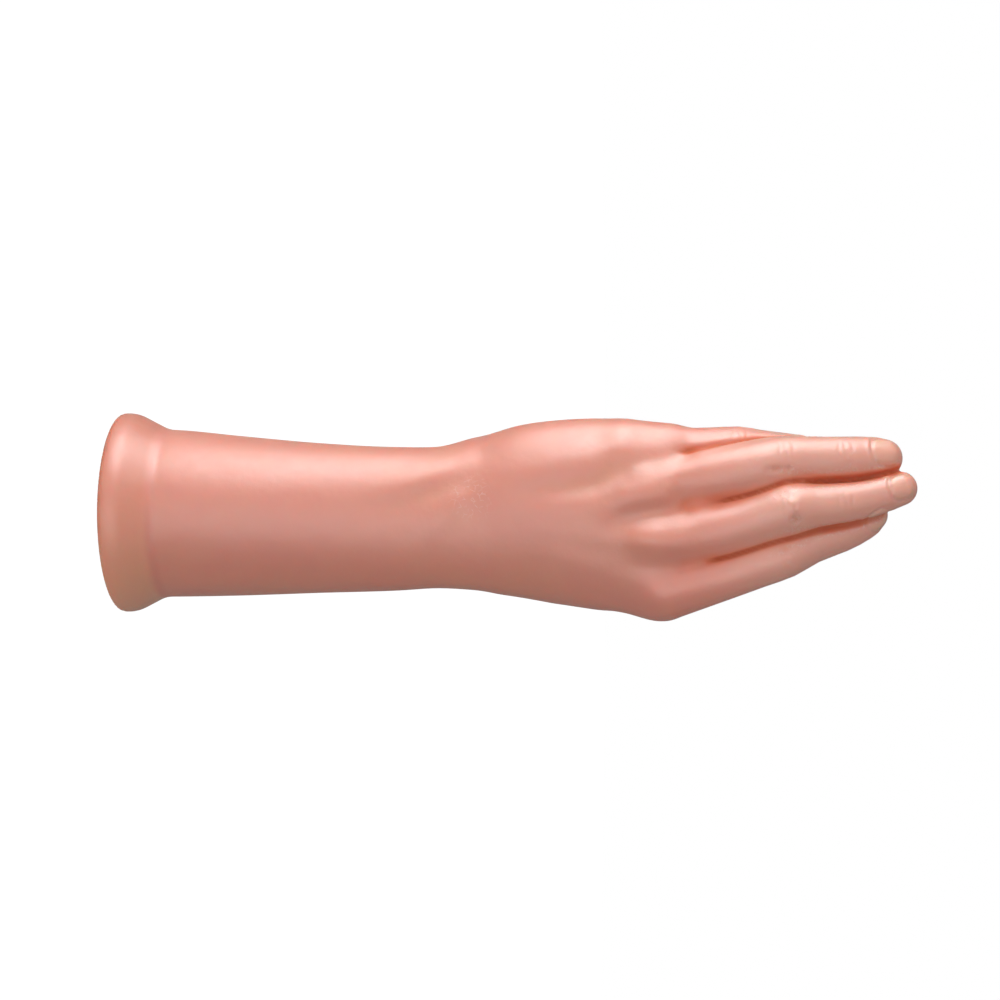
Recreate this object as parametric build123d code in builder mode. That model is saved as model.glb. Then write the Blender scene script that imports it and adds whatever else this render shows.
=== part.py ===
from build123d import *
import os
from math import cos, radians, sin, tan

# A passive prosthetic hand with its forearm: a seamless elastomer skin over two foam
# cores, a tube frame with a friction wrist, and a turning coupling at the arm's end.
# Millimetres. The origin is the centre of the coupling's mounting face. +Z runs along
# the forearm to the fingertips, -Y is the back of the hand, and +X is the thumb side.

os.makedirs("parts", exist_ok=True)

# Clearances
SKIN_GAP = 0.3  # between the skin and the foam cores
RUNNING = 0.05  # radial clearance of a turning fit
FACE_GAP = 0.1  # axial clearance of a turning fit
POCKET_GAP = 0.3  # between a foam core and the frame inside it

# Skin
SKIN_WALL = 2.5
SKIN_BOTTOM = 0.8  # the rolled lip hangs clear of the mounting face
SKIN_MOUTH_R = 33.5  # opening in the rolled lip, round the coupling plate
SKIN_MOUTH_TOP = SKIN_BOTTOM + SKIN_WALL + 1.0  # the opening is cut through the lip to here

# Cuff: the flared foot of the forearm, with a stiff ring inside it
CUFF_RIM_R = 41.4
CUFF_RIM_TOP = 8.0
CUFF_CORNER_Z = 20.0  # where the flare meets the forearm
CUFF_CORNER_R = 35.0
CUFF_CORNER_WIDE = 1.4  # the hollow corner's slant starts this far out
CUFF_CORNER_LOW = 2.0  # and this far below the corner
CUFF_OVERLAP = 1.0  # the foot runs this far up into the forearm
RIM_ROUND = 2.4
CUFF_RING_R = 32.6  # clear of the coupling plate, which doesn't turn with it
CUFF_RING_FIT = 0.02  # radial clearance round the rotor's flange
CUFF_SCREW_R = 1.5
CUFF_SCREW_OUT = 34.2  # the screws' outer ends lie just under the ring's surface
CUFF_SCREW_IN = 25.5
CUFF_SCREWS_DEG = [-90, 30, 150]
CUFF_SOCKET_R = 0.75  # half across the flats, as in every socket here
CUFF_SOCKET_T = 1.5

# Forearm and palm: height, centre x, centre y, half width, half depth
ARM_STATIONS = [
    (13, 0.0, 0.0, 34.6, 34.4),
    (30, 0.6, 0.0, 34.5, 33.8),
    (60, 1.8, 0.0, 32.8, 30.5),
    (95, 2.4, 0.0, 30.7, 26.5),
    (130, 2.3, 0.0, 29.3, 23.6),
    (150, 1.0, 0.0, 31.6, 23.2),
    (175, -0.6, 0.5, 36.9, 24.5),
    (200, 0.9, 1.0, 39.6, 25.0),
    (222, 3.4, 0.5, 40.0, 23.0),
    (238, 2.0, 0.0, 33.0, 18.0),
]

# Digits: x, y, z and radius at the root, knuckle, middle joint, end joint and tip centre
DIGITS = {
    "index": [
        (24, -3, 190, 11.0),
        (31, -7.5, 227, 12.2),
        (17, -8.4, 275, 9.4),
        (8, -5.4, 297, 8.1),
        (1, -3.2, 309.6, 6.8),
    ],
    "middle": [
        (7, -6, 190, 11.0),
        (11, -11, 227, 12.0),
        (-1.4, -12.2, 276, 10.7),
        (-4.9, -10.4, 298, 8.8),
        (-9.9, -7.6, 321, 7.2),
    ],
    "ring": [
        (-8, -5, 190, 11.0),
        (-11, -9, 222, 11.5),
        (-20.6, -8.8, 275, 10.2),
        (-21.4, -6.6, 298, 9.3),
        (-22, -4.4, 314.2, 7.8),
    ],
    "little": [
        (-20, -2, 185, 10.0),
        (-25, -4, 214, 10.4),
        (-25.9, -0.5, 256, 9.1),
        (-24.7, 2, 271, 8.3),
        (-23.2, 4.4, 286, 7.3),
    ],
    "thumb": [
        (18, 6, 162, 12.0),
        (25, 11.5, 199, 13.2),
        (15, 16, 236, 11.0),
        (7.2, 15.6, 253, 9.9),
        (3, 14.5, 262, 9.2),
    ],
}

# Coupling: a plate with a spigot that the forearm turns on
PLATE_R = 32.0
PLATE_T = 8.0
PLATE_CHAMFER = 0.8
BOLT_SQUARE = 36.0
BOLT_HOLE_R = 2.5  # tapping size of M6
SPIGOT_R = 11.0
SPIGOT_TOP = 40.0
GROOVE_Z = 36.0
GROOVE_W = 1.3
GROOVE_R = 10.3
RING_T = 1.1
RING_R = 13.4
RING_MOUTH_DEG = 50
WASHER_R = 24.0
WASHER_HOLE_R = BOLT_HOLE_R + 1.0

# Rotor: turns on the spigot and carries the forearm tube
ROTOR_Z = PLATE_T + 2.0
ROTOR_FLANGE_R = 30.0
ROTOR_FLANGE_TOP = 22.0
ROTOR_TOP = 34.0
ROTOR_CHAMFER = 0.6
ROTOR_BORE_R = 11.4  # clear of the spigot in the flange
BUSH_R = 13.5
BUSH_FLANGE_R = 15.0
BUSH_FLANGE_T = 1.6
FRICTION_Z = 16.0
FRICTION_SCREW_R = 3.0
FRICTION_SCREW_ROOM = 0.3  # round the way to it through the cuff ring
FRICTION_SCREW_SUNK = 2.0  # below the rotor's rim
FRICTION_SOCKET_R = 1.5
FRICTION_SOCKET_T = 3.0
FRICTION_PAD_L = 4.0
FRICTION_PAD_HUG = 1.0  # the pad's hollow end reaches this far round the spigot

# Forearm tube
TUBE_R = 18.0
TUBE_BORE_R = 16.0
TUBE_TOP = 104.0
TUBE_FIT = 0.02
TUBE_SCREW_R = 2.0
TUBE_SCREW_L = 4.2
TUBE_SOCKET_R = 1.0
TUBE_SOCKET_T = 1.8
LOWER_SCREW_Z = 29.0
UPPER_SCREW_Z = 96.0

# Wrist hinge, about an axis along X
WRIST_Z = 130.0
WRIST_SWING = 36.0  # degrees each way that the cores leave room for
CORE_HALF_GAP = 0.5  # half the gap between the two cores at the wrist's axis
EAR_IN = 8.5
EAR_OUT = 14.5
EAR_R = 10.0
EAR_ROOT = 2.0  # the ears start this far down in the fork's flange
FORK_PLUG_Z = 84.0
FORK_PLUG_R = TUBE_BORE_R - 5.0  # the plug's own bore
FORK_FLANGE_TOP = 108.0
AXLE_R = 4.0
AXLE_HEAD_R = 6.5
AXLE_HEAD_T = 4.5
AXLE_END = 20.5
AXLE_SOCKET_R = 2.5
AXLE_SOCKET_T = 3.0
SPRING_WASHER_T = 1.2
NUT_ACROSS_FLATS = 13.0
NUT_T = 4.5
KNUCKLE_HALF = 6.5
KNUCKLE_TOP = 156.0
KNUCKLE_FLANGE_T = 6.0
KNUCKLE_FLANGE = (36.0, 24.0)
KNUCKLE_CORNER_R = 5.0
AXLE_BUSH_R = 5.5
AXLE_BUSH_END = 0.5  # each bush's inner end, from the middle of the knuckle
AXLE_BUSH_FLANGE_R = 8.0
AXLE_BUSH_FLANGE_T = 1.0
FRICTION_WASHER_R = 9.5
HINGE_POCKET_R = 12.5
HINGE_POCKET_HALF = 22.0

# Hand chassis: the plate in the palm that holds the finger wires
CHASSIS_Z = KNUCKLE_TOP
CHASSIS_TOP = 214.0
CHASSIS_FOOT = (36.0, 20.0, 8.0)
CHASSIS_FOOT_CORNER_R = 4.0
CHASSIS_Y = -3.0
CHASSIS_T = 7.0
CHASSIS_NECK_W = 26.0
CHASSIS_HEAD_W = 52.0
CHASSIS_HEAD_Z = 194.0
CHASSIS_FLARE = 12.0  # length over which the neck widens to the head
CHASSIS_SCREW_X = 13.0
CHASSIS_SCREW_R = 2.0
CHASSIS_SCREW_REACH = 7.0  # into the chassis's foot
CHASSIS_SCREW_ROOM = 0.5  # beyond the screw's end
CHASSIS_SCREW_HEAD_R = 3.5
CHASSIS_SCREW_HEAD_T = 3.5
CHASSIS_SOCKET_R = 1.5
CHASSIS_SOCKET_T = 2.2
LOWER_SLOT = (12.0, 5.0)  # the slots that lighten the chassis
UPPER_SLOT = (14.0, 6.0)
SLOT_CORNER_R = 2.0
SLOT_DROP = 3.0
CLAMP_T = 3.0
CLAMP_FACE_Y = CHASSIS_Y + CHASSIS_T / 2  # the wires lie half in this face
CLAMP_Z = 204.0
CLAMP_H = 14.0
CLAMP_CORNER_R = 3.0
CLAMP_SCREW_R = 1.5
CLAMP_SCREW_HEAD_R = 2.7
CLAMP_SCREW_HEAD_T = 1.6
CLAMP_SCREWS_X = [-15.0, 0.5, 16.5]
THUMB_CLAMP_Z = 179.0
THUMB_CLAMP_W = 24.0
THUMB_CLAMP_H = 12.0
THUMB_SCREW_DROP = 3.4  # the thumb clamp's screws lie this far below its wire

# Finger wires: soft steel, bent by hand and covered by the foam
WIRE_R = 1.25
CAP_R = 2.6
CAP_L = 7.0
CAP_CHAMFER = 0.9
WIRE_FIT = 0.02
WIRE_CLAMP_SHIFT = 1.0  # the straight length in the clamp lies this far above its middle
THUMB_WIRE_X = (-9.0, 14.0)  # ends of the thumb wire's straight length
WIRE_CLAMP_X = {"index": 22.0, "middle": 9.0, "ring": -8.0, "little": -21.0}


def centre_line(name):
    """The centre line of one digit, from its root to the centre of its tip."""
    return [Vector(*station[:3]) for station in DIGITS[name]]


def digit_form(name, inset):
    """One digit as straight tapering lengths with a round tip, drawn in by inset."""
    points = centre_line(name)
    radii = [station[3] - inset for station in DIGITS[name]]
    with BuildPart() as form:
        for number, (point, radius) in enumerate(zip(points, radii)):
            before = points[max(number - 1, 0)]
            after = points[min(number + 1, len(points) - 1)]
            with BuildSketch(Plane(origin=point, x_dir=(1, 0, 0), z_dir=after - before)):
                Circle(radius)
        loft(ruled=True)
        with Locations(points[-1]):
            Sphere(radii[-1])
    return form.part


def arm_form(inset):
    """The forearm and the palm, without the cuff and the digits.

    The last station is the end of the palm, so it is drawn in along the arm as well.
    """
    end = ARM_STATIONS[-1][0]
    with BuildPart() as form:
        for station, x, y, half_width, half_depth in ARM_STATIONS:
            z = min(station, end - inset)
            with BuildSketch(Plane.XY.offset(z).shift_origin((x, y, z))):
                Ellipse(half_width - inset, half_depth - inset)
        loft()
    return form.part


def cuff_form(inset):
    """The flared foot: a turned shape with a rounded rim and a hollow corner."""
    bottom = SKIN_BOTTOM + inset
    rim = CUFF_RIM_R - inset
    corner = CUFF_CORNER_R - inset
    with BuildPart() as form:
        with BuildSketch(Plane.XZ):
            with BuildLine():
                Polyline(
                    (0, bottom),
                    (rim - RIM_ROUND, bottom),
                    (rim, bottom + RIM_ROUND),
                    (rim, CUFF_RIM_TOP),
                    (corner + CUFF_CORNER_WIDE, CUFF_CORNER_Z - CUFF_CORNER_LOW),
                    (corner, CUFF_CORNER_Z + CUFF_OVERLAP),
                    (0, CUFF_CORNER_Z + CUFF_OVERLAP),
                    close=True,
                )
            make_face()
        revolve(axis=Axis.Z)
    return form.part


def body_form(inset):
    """The whole outer form of hand, forearm and cuff, drawn in by inset."""
    with BuildPart() as form:
        add(arm_form(inset))
        add(cuff_form(inset))
        for name in DIGITS:
            add(digit_form(name, inset))
    return form.part


def wrist_side(sign):
    """All that lies beyond one face of the V-shaped relief at the wrist.

    sign is +1 for the hand's side and -1 for the forearm's. The relief opens by the
    swing of the wrist on the back and on the palm, so that the cores never meet.
    """
    reach = 60.0
    far = 260.0
    drop = reach * tan(radians(WRIST_SWING / 2))
    with BuildPart() as side:
        with BuildSketch(Plane.YZ):
            with BuildLine():
                Polyline(
                    (0, WRIST_Z + sign * CORE_HALF_GAP),
                    (reach, WRIST_Z + sign * (CORE_HALF_GAP + drop)),
                    (reach, WRIST_Z + sign * far),
                    (-reach, WRIST_Z + sign * far),
                    (-reach, WRIST_Z + sign * (CORE_HALF_GAP + drop)),
                    close=True,
                )
            make_face()
        extrude(amount=reach, both=True)
    return side.part


def axle_ring(x_from, x_to, outer, inner):
    """A washer or sleeve round the wrist axis, from one x to another."""
    with BuildPart() as ring:
        with BuildSketch(Plane.YZ.offset(x_from)):
            with Locations((0, WRIST_Z)):
                Circle(outer)
                Circle(inner, mode=Mode.SUBTRACT)
        extrude(amount=x_to - x_from)
    return ring.part


# ---- coupling -----------------------------------------------------------------------

with BuildPart() as coupling_plate:
    with BuildSketch():
        Circle(PLATE_R)
    extrude(amount=PLATE_T)
    chamfer(coupling_plate.edges().filter_by(GeomType.CIRCLE), length=PLATE_CHAMFER)
    with BuildSketch(Plane.XY.offset(PLATE_T)):
        Circle(SPIGOT_R)
    extrude(amount=SPIGOT_TOP - PLATE_T)
    chamfer(coupling_plate.edges().group_by(Axis.Z)[-1], length=PLATE_CHAMFER)
    with BuildSketch(Plane.XY.offset(GROOVE_Z)):
        Circle(SPIGOT_R)
        Circle(GROOVE_R, mode=Mode.SUBTRACT)
    extrude(amount=GROOVE_W, mode=Mode.SUBTRACT)
    with BuildSketch():
        with GridLocations(BOLT_SQUARE, BOLT_SQUARE, 2, 2):
            Circle(BOLT_HOLE_R)
    extrude(amount=PLATE_T, mode=Mode.SUBTRACT)

with BuildPart() as retaining_ring:
    with BuildSketch(Plane.XY.offset(GROOVE_Z + FACE_GAP)):
        Circle(RING_R)
        Circle(GROOVE_R + RUNNING, mode=Mode.SUBTRACT)
        half = radians(RING_MOUTH_DEG / 2)
        reach = 2 * RING_R
        with BuildLine():
            Polyline(
                (0, 0),
                (reach * sin(half), reach * cos(half)),
                (-reach * sin(half), reach * cos(half)),
                close=True,
            )
        make_face(mode=Mode.SUBTRACT)
    extrude(amount=RING_T)

with BuildPart() as thrust_washer:
    with BuildSketch(Plane.XY.offset(PLATE_T)):
        Circle(WASHER_R)
        Circle(SPIGOT_R + RUNNING, mode=Mode.SUBTRACT)
        with GridLocations(BOLT_SQUARE, BOLT_SQUARE, 2, 2):
            Circle(WASHER_HOLE_R, mode=Mode.SUBTRACT)
    extrude(amount=ROTOR_Z - PLATE_T - FACE_GAP)

# ---- rotor --------------------------------------------------------------------------

friction_axis = Plane(origin=(0, 0, FRICTION_Z), x_dir=(1, 0, 0), z_dir=(0, 1, 0))


def cuff_screw_plane(angle):
    """The plane across one of the cuff ring's radial screws, at its inner end."""
    outwards = Vector(cos(radians(angle)), sin(radians(angle)), 0)
    return Plane(origin=outwards * CUFF_SCREW_IN + Vector(0, 0, FRICTION_Z), z_dir=outwards)


with BuildPart() as rotor_housing:
    with BuildSketch(Plane.XY.offset(ROTOR_Z)):
        Circle(ROTOR_FLANGE_R)
    extrude(amount=ROTOR_FLANGE_TOP - ROTOR_Z)
    chamfer(rotor_housing.edges().filter_by(GeomType.CIRCLE), length=ROTOR_CHAMFER)
    with BuildSketch(Plane.XY.offset(ROTOR_FLANGE_TOP)):
        Circle(TUBE_BORE_R - TUBE_FIT)
    extrude(amount=ROTOR_TOP - ROTOR_FLANGE_TOP)
    with BuildSketch(Plane.XY.offset(ROTOR_Z)):
        Circle(ROTOR_BORE_R)
    extrude(amount=ROTOR_FLANGE_TOP - ROTOR_Z, mode=Mode.SUBTRACT)
    with BuildSketch(Plane.XY.offset(ROTOR_FLANGE_TOP)):
        Circle(BUSH_R)
    extrude(amount=ROTOR_TOP - ROTOR_FLANGE_TOP, mode=Mode.SUBTRACT)
    with BuildSketch(friction_axis):
        Circle(FRICTION_SCREW_R)
    extrude(amount=ROTOR_FLANGE_R, mode=Mode.SUBTRACT)
    with Locations((0, 0, LOWER_SCREW_Z)):
        Cylinder(TUBE_SCREW_R, 4 * TUBE_R, rotation=(0, 90, 0), mode=Mode.SUBTRACT)
    for angle in CUFF_SCREWS_DEG:
        with BuildSketch(cuff_screw_plane(angle)):
            Circle(CUFF_SCREW_R)
        extrude(amount=ROTOR_FLANGE_R, mode=Mode.SUBTRACT)

with BuildPart() as rotor_bush:
    with BuildSketch(Plane.XY.offset(ROTOR_FLANGE_TOP)):
        Circle(BUSH_R)
    extrude(amount=ROTOR_TOP - ROTOR_FLANGE_TOP)
    with BuildSketch(Plane.XY.offset(ROTOR_TOP)):
        Circle(BUSH_FLANGE_R)
    extrude(amount=BUSH_FLANGE_T)
    with BuildSketch(Plane.XY.offset(ROTOR_FLANGE_TOP)):
        Circle(SPIGOT_R + RUNNING)
    extrude(amount=ROTOR_TOP + BUSH_FLANGE_T - ROTOR_FLANGE_TOP, mode=Mode.SUBTRACT)

with BuildPart() as friction_pad:
    with BuildSketch(friction_axis.offset(SPIGOT_R - FRICTION_PAD_HUG)):
        Circle(FRICTION_SCREW_R)
    extrude(amount=FRICTION_PAD_L + FRICTION_PAD_HUG)
    with Locations((0, 0, FRICTION_Z)):
        Cylinder(SPIGOT_R + RUNNING, 4 * FRICTION_SCREW_R, mode=Mode.SUBTRACT)

with BuildPart() as friction_screw:
    with BuildSketch(friction_axis.offset(SPIGOT_R + FRICTION_PAD_L)):
        Circle(FRICTION_SCREW_R)
    extrude(amount=ROTOR_FLANGE_R - FRICTION_SCREW_SUNK - SPIGOT_R - FRICTION_PAD_L)
    socket_from = ROTOR_FLANGE_R - FRICTION_SCREW_SUNK - FRICTION_SOCKET_T
    with BuildSketch(friction_axis.offset(socket_from)):
        RegularPolygon(FRICTION_SOCKET_R, 6, major_radius=False)
    extrude(amount=FRICTION_SOCKET_T, mode=Mode.SUBTRACT)

# ---- forearm frame ------------------------------------------------------------------

with BuildPart() as forearm_tube:
    with BuildSketch(Plane.XY.offset(ROTOR_FLANGE_TOP)):
        Circle(TUBE_R)
        Circle(TUBE_BORE_R, mode=Mode.SUBTRACT)
    extrude(amount=TUBE_TOP - ROTOR_FLANGE_TOP)
    with Locations((0, 0, LOWER_SCREW_Z), (0, 0, UPPER_SCREW_Z)):
        Cylinder(TUBE_SCREW_R, 4 * TUBE_R, rotation=(0, 90, 0), mode=Mode.SUBTRACT)

with BuildPart() as tube_screws:
    for z in (LOWER_SCREW_Z, UPPER_SCREW_Z):
        for side in (-1, 1):
            start = Plane(origin=(side * TUBE_R, 0, z), x_dir=(0, 1, 0), z_dir=(-side, 0, 0))
            with BuildSketch(start):
                Circle(TUBE_SCREW_R)
            extrude(amount=TUBE_SCREW_L)
            with BuildSketch(start):
                RegularPolygon(TUBE_SOCKET_R, 6, major_radius=False)
            extrude(amount=TUBE_SOCKET_T, mode=Mode.SUBTRACT)

with BuildPart() as wrist_fork:
    with BuildSketch(Plane.XY.offset(FORK_PLUG_Z)):
        Circle(TUBE_BORE_R - TUBE_FIT)
        Circle(FORK_PLUG_R, mode=Mode.SUBTRACT)
    extrude(amount=TUBE_TOP - FORK_PLUG_Z)
    with BuildSketch(Plane.XY.offset(TUBE_TOP)):
        Circle(TUBE_R)
    extrude(amount=FORK_FLANGE_TOP - TUBE_TOP)
    with Locations((0, 0, UPPER_SCREW_Z)):
        Cylinder(TUBE_SCREW_R, 4 * TUBE_R, rotation=(0, 90, 0), mode=Mode.SUBTRACT)
    for side in (-1, 1):
        with BuildSketch(Plane.YZ.offset(side * EAR_IN)):
            with Locations((0, (FORK_FLANGE_TOP - EAR_ROOT + WRIST_Z) / 2)):
                Rectangle(2 * EAR_R, WRIST_Z - FORK_FLANGE_TOP + EAR_ROOT)
            with Locations((0, WRIST_Z)):
                Circle(EAR_R)
        extrude(amount=side * (EAR_OUT - EAR_IN))
    with Locations((0, 0, WRIST_Z)):
        Cylinder(AXLE_R, 4 * EAR_OUT, rotation=(0, 90, 0), mode=Mode.SUBTRACT)

with BuildPart() as wrist_axle:
    with BuildSketch(Plane.YZ.offset(-EAR_OUT - AXLE_HEAD_T)):
        with Locations((0, WRIST_Z)):
            Circle(AXLE_HEAD_R)
    extrude(amount=AXLE_HEAD_T)
    with BuildSketch(Plane.YZ.offset(-EAR_OUT)):
        with Locations((0, WRIST_Z)):
            Circle(AXLE_R)
    extrude(amount=EAR_OUT + AXLE_END)
    with BuildSketch(Plane.YZ.offset(-EAR_OUT - AXLE_HEAD_T)):
        with Locations((0, WRIST_Z)):
            RegularPolygon(AXLE_SOCKET_R, 6, major_radius=False)
    extrude(amount=AXLE_SOCKET_T, mode=Mode.SUBTRACT)

with BuildPart() as spring_washer:
    add(axle_ring(EAR_OUT, EAR_OUT + SPRING_WASHER_T, AXLE_HEAD_R, AXLE_R + RUNNING))

with BuildPart() as axle_nut:
    with BuildSketch(Plane.YZ.offset(EAR_OUT + SPRING_WASHER_T)):
        with Locations((0, WRIST_Z)):
            RegularPolygon(NUT_ACROSS_FLATS / 2, 6, major_radius=False)
            Circle(AXLE_R, mode=Mode.SUBTRACT)
    extrude(amount=NUT_T)

with BuildPart() as friction_washers:
    bush_face = KNUCKLE_HALF + AXLE_BUSH_FLANGE_T + FACE_GAP
    for side in (-1, 1):
        add(axle_ring(side * bush_face, side * (EAR_IN - RUNNING), FRICTION_WASHER_R, AXLE_R + RUNNING))

# ---- hand frame ---------------------------------------------------------------------

with BuildPart() as wrist_knuckle:
    flange_bottom = KNUCKLE_TOP - KNUCKLE_FLANGE_T
    with BuildSketch(Plane.YZ):
        with Locations((0, (WRIST_Z + flange_bottom) / 2)):
            Rectangle(2 * EAR_R, flange_bottom - WRIST_Z)
        with Locations((0, WRIST_Z)):
            Circle(EAR_R)
    extrude(amount=KNUCKLE_HALF, both=True)
    with BuildSketch(Plane.XY.offset(flange_bottom)):
        RectangleRounded(*KNUCKLE_FLANGE, radius=KNUCKLE_CORNER_R)
    extrude(amount=KNUCKLE_FLANGE_T)
    with Locations((0, 0, WRIST_Z)):
        Cylinder(AXLE_BUSH_R, 4 * KNUCKLE_HALF, rotation=(0, 90, 0), mode=Mode.SUBTRACT)
    with Locations((-CHASSIS_SCREW_X, 0, KNUCKLE_TOP), (CHASSIS_SCREW_X, 0, KNUCKLE_TOP)):
        Hole(CHASSIS_SCREW_R, depth=KNUCKLE_FLANGE_T)

with BuildPart() as axle_bushes:
    for side in (-1, 1):
        face = side * KNUCKLE_HALF
        add(axle_ring(side * AXLE_BUSH_END, face, AXLE_BUSH_R, AXLE_R + RUNNING))
        add(axle_ring(face, face + side * AXLE_BUSH_FLANGE_T, AXLE_BUSH_FLANGE_R, AXLE_R + RUNNING))


def wire_route(name):
    """The corners of one finger wire, from its clamp to its end in the fingertip."""
    root, knuckle, middle, end, tip = centre_line(name)
    if name == "thumb":
        held = [Vector(x, CLAMP_FACE_Y, THUMB_CLAMP_Z) for x in THUMB_WIRE_X]
    else:
        middle_z = CLAMP_Z + WIRE_CLAMP_SHIFT
        ends_z = (middle_z - CLAMP_H / 2, middle_z + CLAMP_H / 2)
        held = [Vector(WIRE_CLAMP_X[name], CLAMP_FACE_Y, z) for z in ends_z]
    return held + [knuckle, middle, end, tip]


def wire_form(name, radius):
    """One finger wire as a round bar of the given radius, bent at each joint."""
    route = wire_route(name)
    with BuildPart() as form:
        for number, point in enumerate(route):
            before = route[max(number - 1, 0)]
            after = route[min(number + 1, len(route) - 1)]
            with BuildSketch(Plane(origin=point, x_dir=(0, 1, 0), z_dir=after - before)):
                Circle(radius)
        loft(ruled=True)
    return form.part


def cap_form(name, bore):
    """The blunt cap on the end of one wire, with or without the wire's bore."""
    before, tip = wire_route(name)[-2:]
    along = (tip - before).normalized()
    seat = Plane(origin=tip - along * (CAP_L - CAP_R), z_dir=along)
    with BuildPart() as form:
        with BuildSketch(seat):
            Circle(CAP_R)
        extrude(amount=CAP_L)
        chamfer(form.edges().filter_by(GeomType.CIRCLE), length=CAP_CHAMFER)
        if bore:
            with BuildSketch(seat):
                Circle(WIRE_R + WIRE_FIT)
            extrude(amount=CAP_L - CAP_R, mode=Mode.SUBTRACT)
    return form.part


def chassis_outline(gap):
    """The chassis's outline in the plane of the palm, enlarged by gap."""
    neck = CHASSIS_NECK_W / 2 + gap
    head = CHASSIS_HEAD_W / 2 + gap
    right = [
        (neck, CHASSIS_Z),
        (neck, CHASSIS_HEAD_Z - CHASSIS_FLARE - gap),
        (head, CHASSIS_HEAD_Z - gap),
        (head, CHASSIS_TOP + gap),
    ]
    left = [(-x, z) for x, z in reversed(right)]
    with BuildSketch(Plane.XZ) as outline:
        with BuildLine():
            Polyline(*right, *left, close=True)
        make_face()
    return outline.sketch_local


with BuildPart() as hand_chassis:
    foot_w, foot_d, foot_t = CHASSIS_FOOT
    with BuildSketch(Plane.XY.offset(CHASSIS_Z)):
        RectangleRounded(foot_w, foot_d, radius=CHASSIS_FOOT_CORNER_R)
    extrude(amount=foot_t)
    with BuildSketch(Plane.XZ.offset(-CHASSIS_Y)):
        add(chassis_outline(0))
        with Locations((0, (CHASSIS_Z + foot_t + THUMB_CLAMP_Z) / 2 - SLOT_DROP)):
            RectangleRounded(*LOWER_SLOT, radius=SLOT_CORNER_R, mode=Mode.SUBTRACT)
        with Locations((0, CHASSIS_HEAD_Z - SLOT_DROP)):
            RectangleRounded(*UPPER_SLOT, radius=SLOT_CORNER_R, mode=Mode.SUBTRACT)
    extrude(amount=CHASSIS_T / 2, both=True)
    with Locations((-CHASSIS_SCREW_X, 0, CHASSIS_Z), (CHASSIS_SCREW_X, 0, CHASSIS_Z)):
        bore_depth = CHASSIS_SCREW_REACH + CHASSIS_SCREW_ROOM
        Cylinder(CHASSIS_SCREW_R, 2 * bore_depth, mode=Mode.SUBTRACT)
    for x in CLAMP_SCREWS_X:
        with Locations((x, CHASSIS_Y, CLAMP_Z)):
            Cylinder(CLAMP_SCREW_R, 2 * CHASSIS_T, rotation=(90, 0, 0), mode=Mode.SUBTRACT)
    for x in (-THUMB_CLAMP_W / 3, THUMB_CLAMP_W / 3):
        with Locations((x, CHASSIS_Y, THUMB_CLAMP_Z - THUMB_SCREW_DROP)):
            Cylinder(CLAMP_SCREW_R, 2 * CHASSIS_T, rotation=(90, 0, 0), mode=Mode.SUBTRACT)
    for name in DIGITS:
        add(wire_form(name, WIRE_R + WIRE_FIT), mode=Mode.SUBTRACT)

with BuildPart() as chassis_screws:
    for x in (-CHASSIS_SCREW_X, CHASSIS_SCREW_X):
        with BuildSketch(Plane.XY.offset(KNUCKLE_TOP - KNUCKLE_FLANGE_T)):
            with Locations((x, 0)):
                Circle(CHASSIS_SCREW_R)
        extrude(amount=KNUCKLE_FLANGE_T + CHASSIS_SCREW_REACH)
        with BuildSketch(Plane.XY.offset(KNUCKLE_TOP - KNUCKLE_FLANGE_T)):
            with Locations((x, 0)):
                Circle(CHASSIS_SCREW_HEAD_R)
        extrude(amount=-CHASSIS_SCREW_HEAD_T)
        head_face = KNUCKLE_TOP - KNUCKLE_FLANGE_T - CHASSIS_SCREW_HEAD_T
        with BuildSketch(Plane.XY.offset(head_face)):
            with Locations((x, 0)):
                RegularPolygon(CHASSIS_SOCKET_R, 6, major_radius=False)
        extrude(amount=CHASSIS_SOCKET_T, mode=Mode.SUBTRACT)

clamp_plane = Plane.XZ.offset(-CLAMP_FACE_Y)

with BuildPart() as wire_clamp:
    with BuildSketch(clamp_plane):
        with Locations((0, CLAMP_Z)):
            RectangleRounded(CHASSIS_HEAD_W, CLAMP_H, radius=CLAMP_CORNER_R)
        for x in CLAMP_SCREWS_X:
            with Locations((x, CLAMP_Z)):
                Circle(CLAMP_SCREW_R, mode=Mode.SUBTRACT)
    extrude(amount=-CLAMP_T)
    for name in WIRE_CLAMP_X:
        add(wire_form(name, WIRE_R + WIRE_FIT), mode=Mode.SUBTRACT)

with BuildPart() as thumb_clamp:
    with BuildSketch(clamp_plane):
        with Locations((0, THUMB_CLAMP_Z - THUMB_SCREW_DROP / 2)):
            RectangleRounded(THUMB_CLAMP_W, THUMB_CLAMP_H, radius=CLAMP_CORNER_R)
        for x in (-THUMB_CLAMP_W / 3, THUMB_CLAMP_W / 3):
            with Locations((x, THUMB_CLAMP_Z - THUMB_SCREW_DROP)):
                Circle(CLAMP_SCREW_R, mode=Mode.SUBTRACT)
    extrude(amount=-CLAMP_T)
    add(wire_form("thumb", WIRE_R + WIRE_FIT), mode=Mode.SUBTRACT)

with BuildPart() as clamp_screws:
    places = [(x, CLAMP_Z) for x in CLAMP_SCREWS_X]
    places += [(x, THUMB_CLAMP_Z - THUMB_SCREW_DROP) for x in (-THUMB_CLAMP_W / 3, THUMB_CLAMP_W / 3)]
    for place in places:
        with BuildSketch(clamp_plane.offset(CHASSIS_T)):
            with Locations(place):
                Circle(CLAMP_SCREW_R)
        extrude(amount=-CHASSIS_T - CLAMP_T)
        with BuildSketch(clamp_plane.offset(-CLAMP_T)):
            with Locations(place):
                Circle(CLAMP_SCREW_HEAD_R)
        extrude(amount=-CLAMP_SCREW_HEAD_T)

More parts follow.
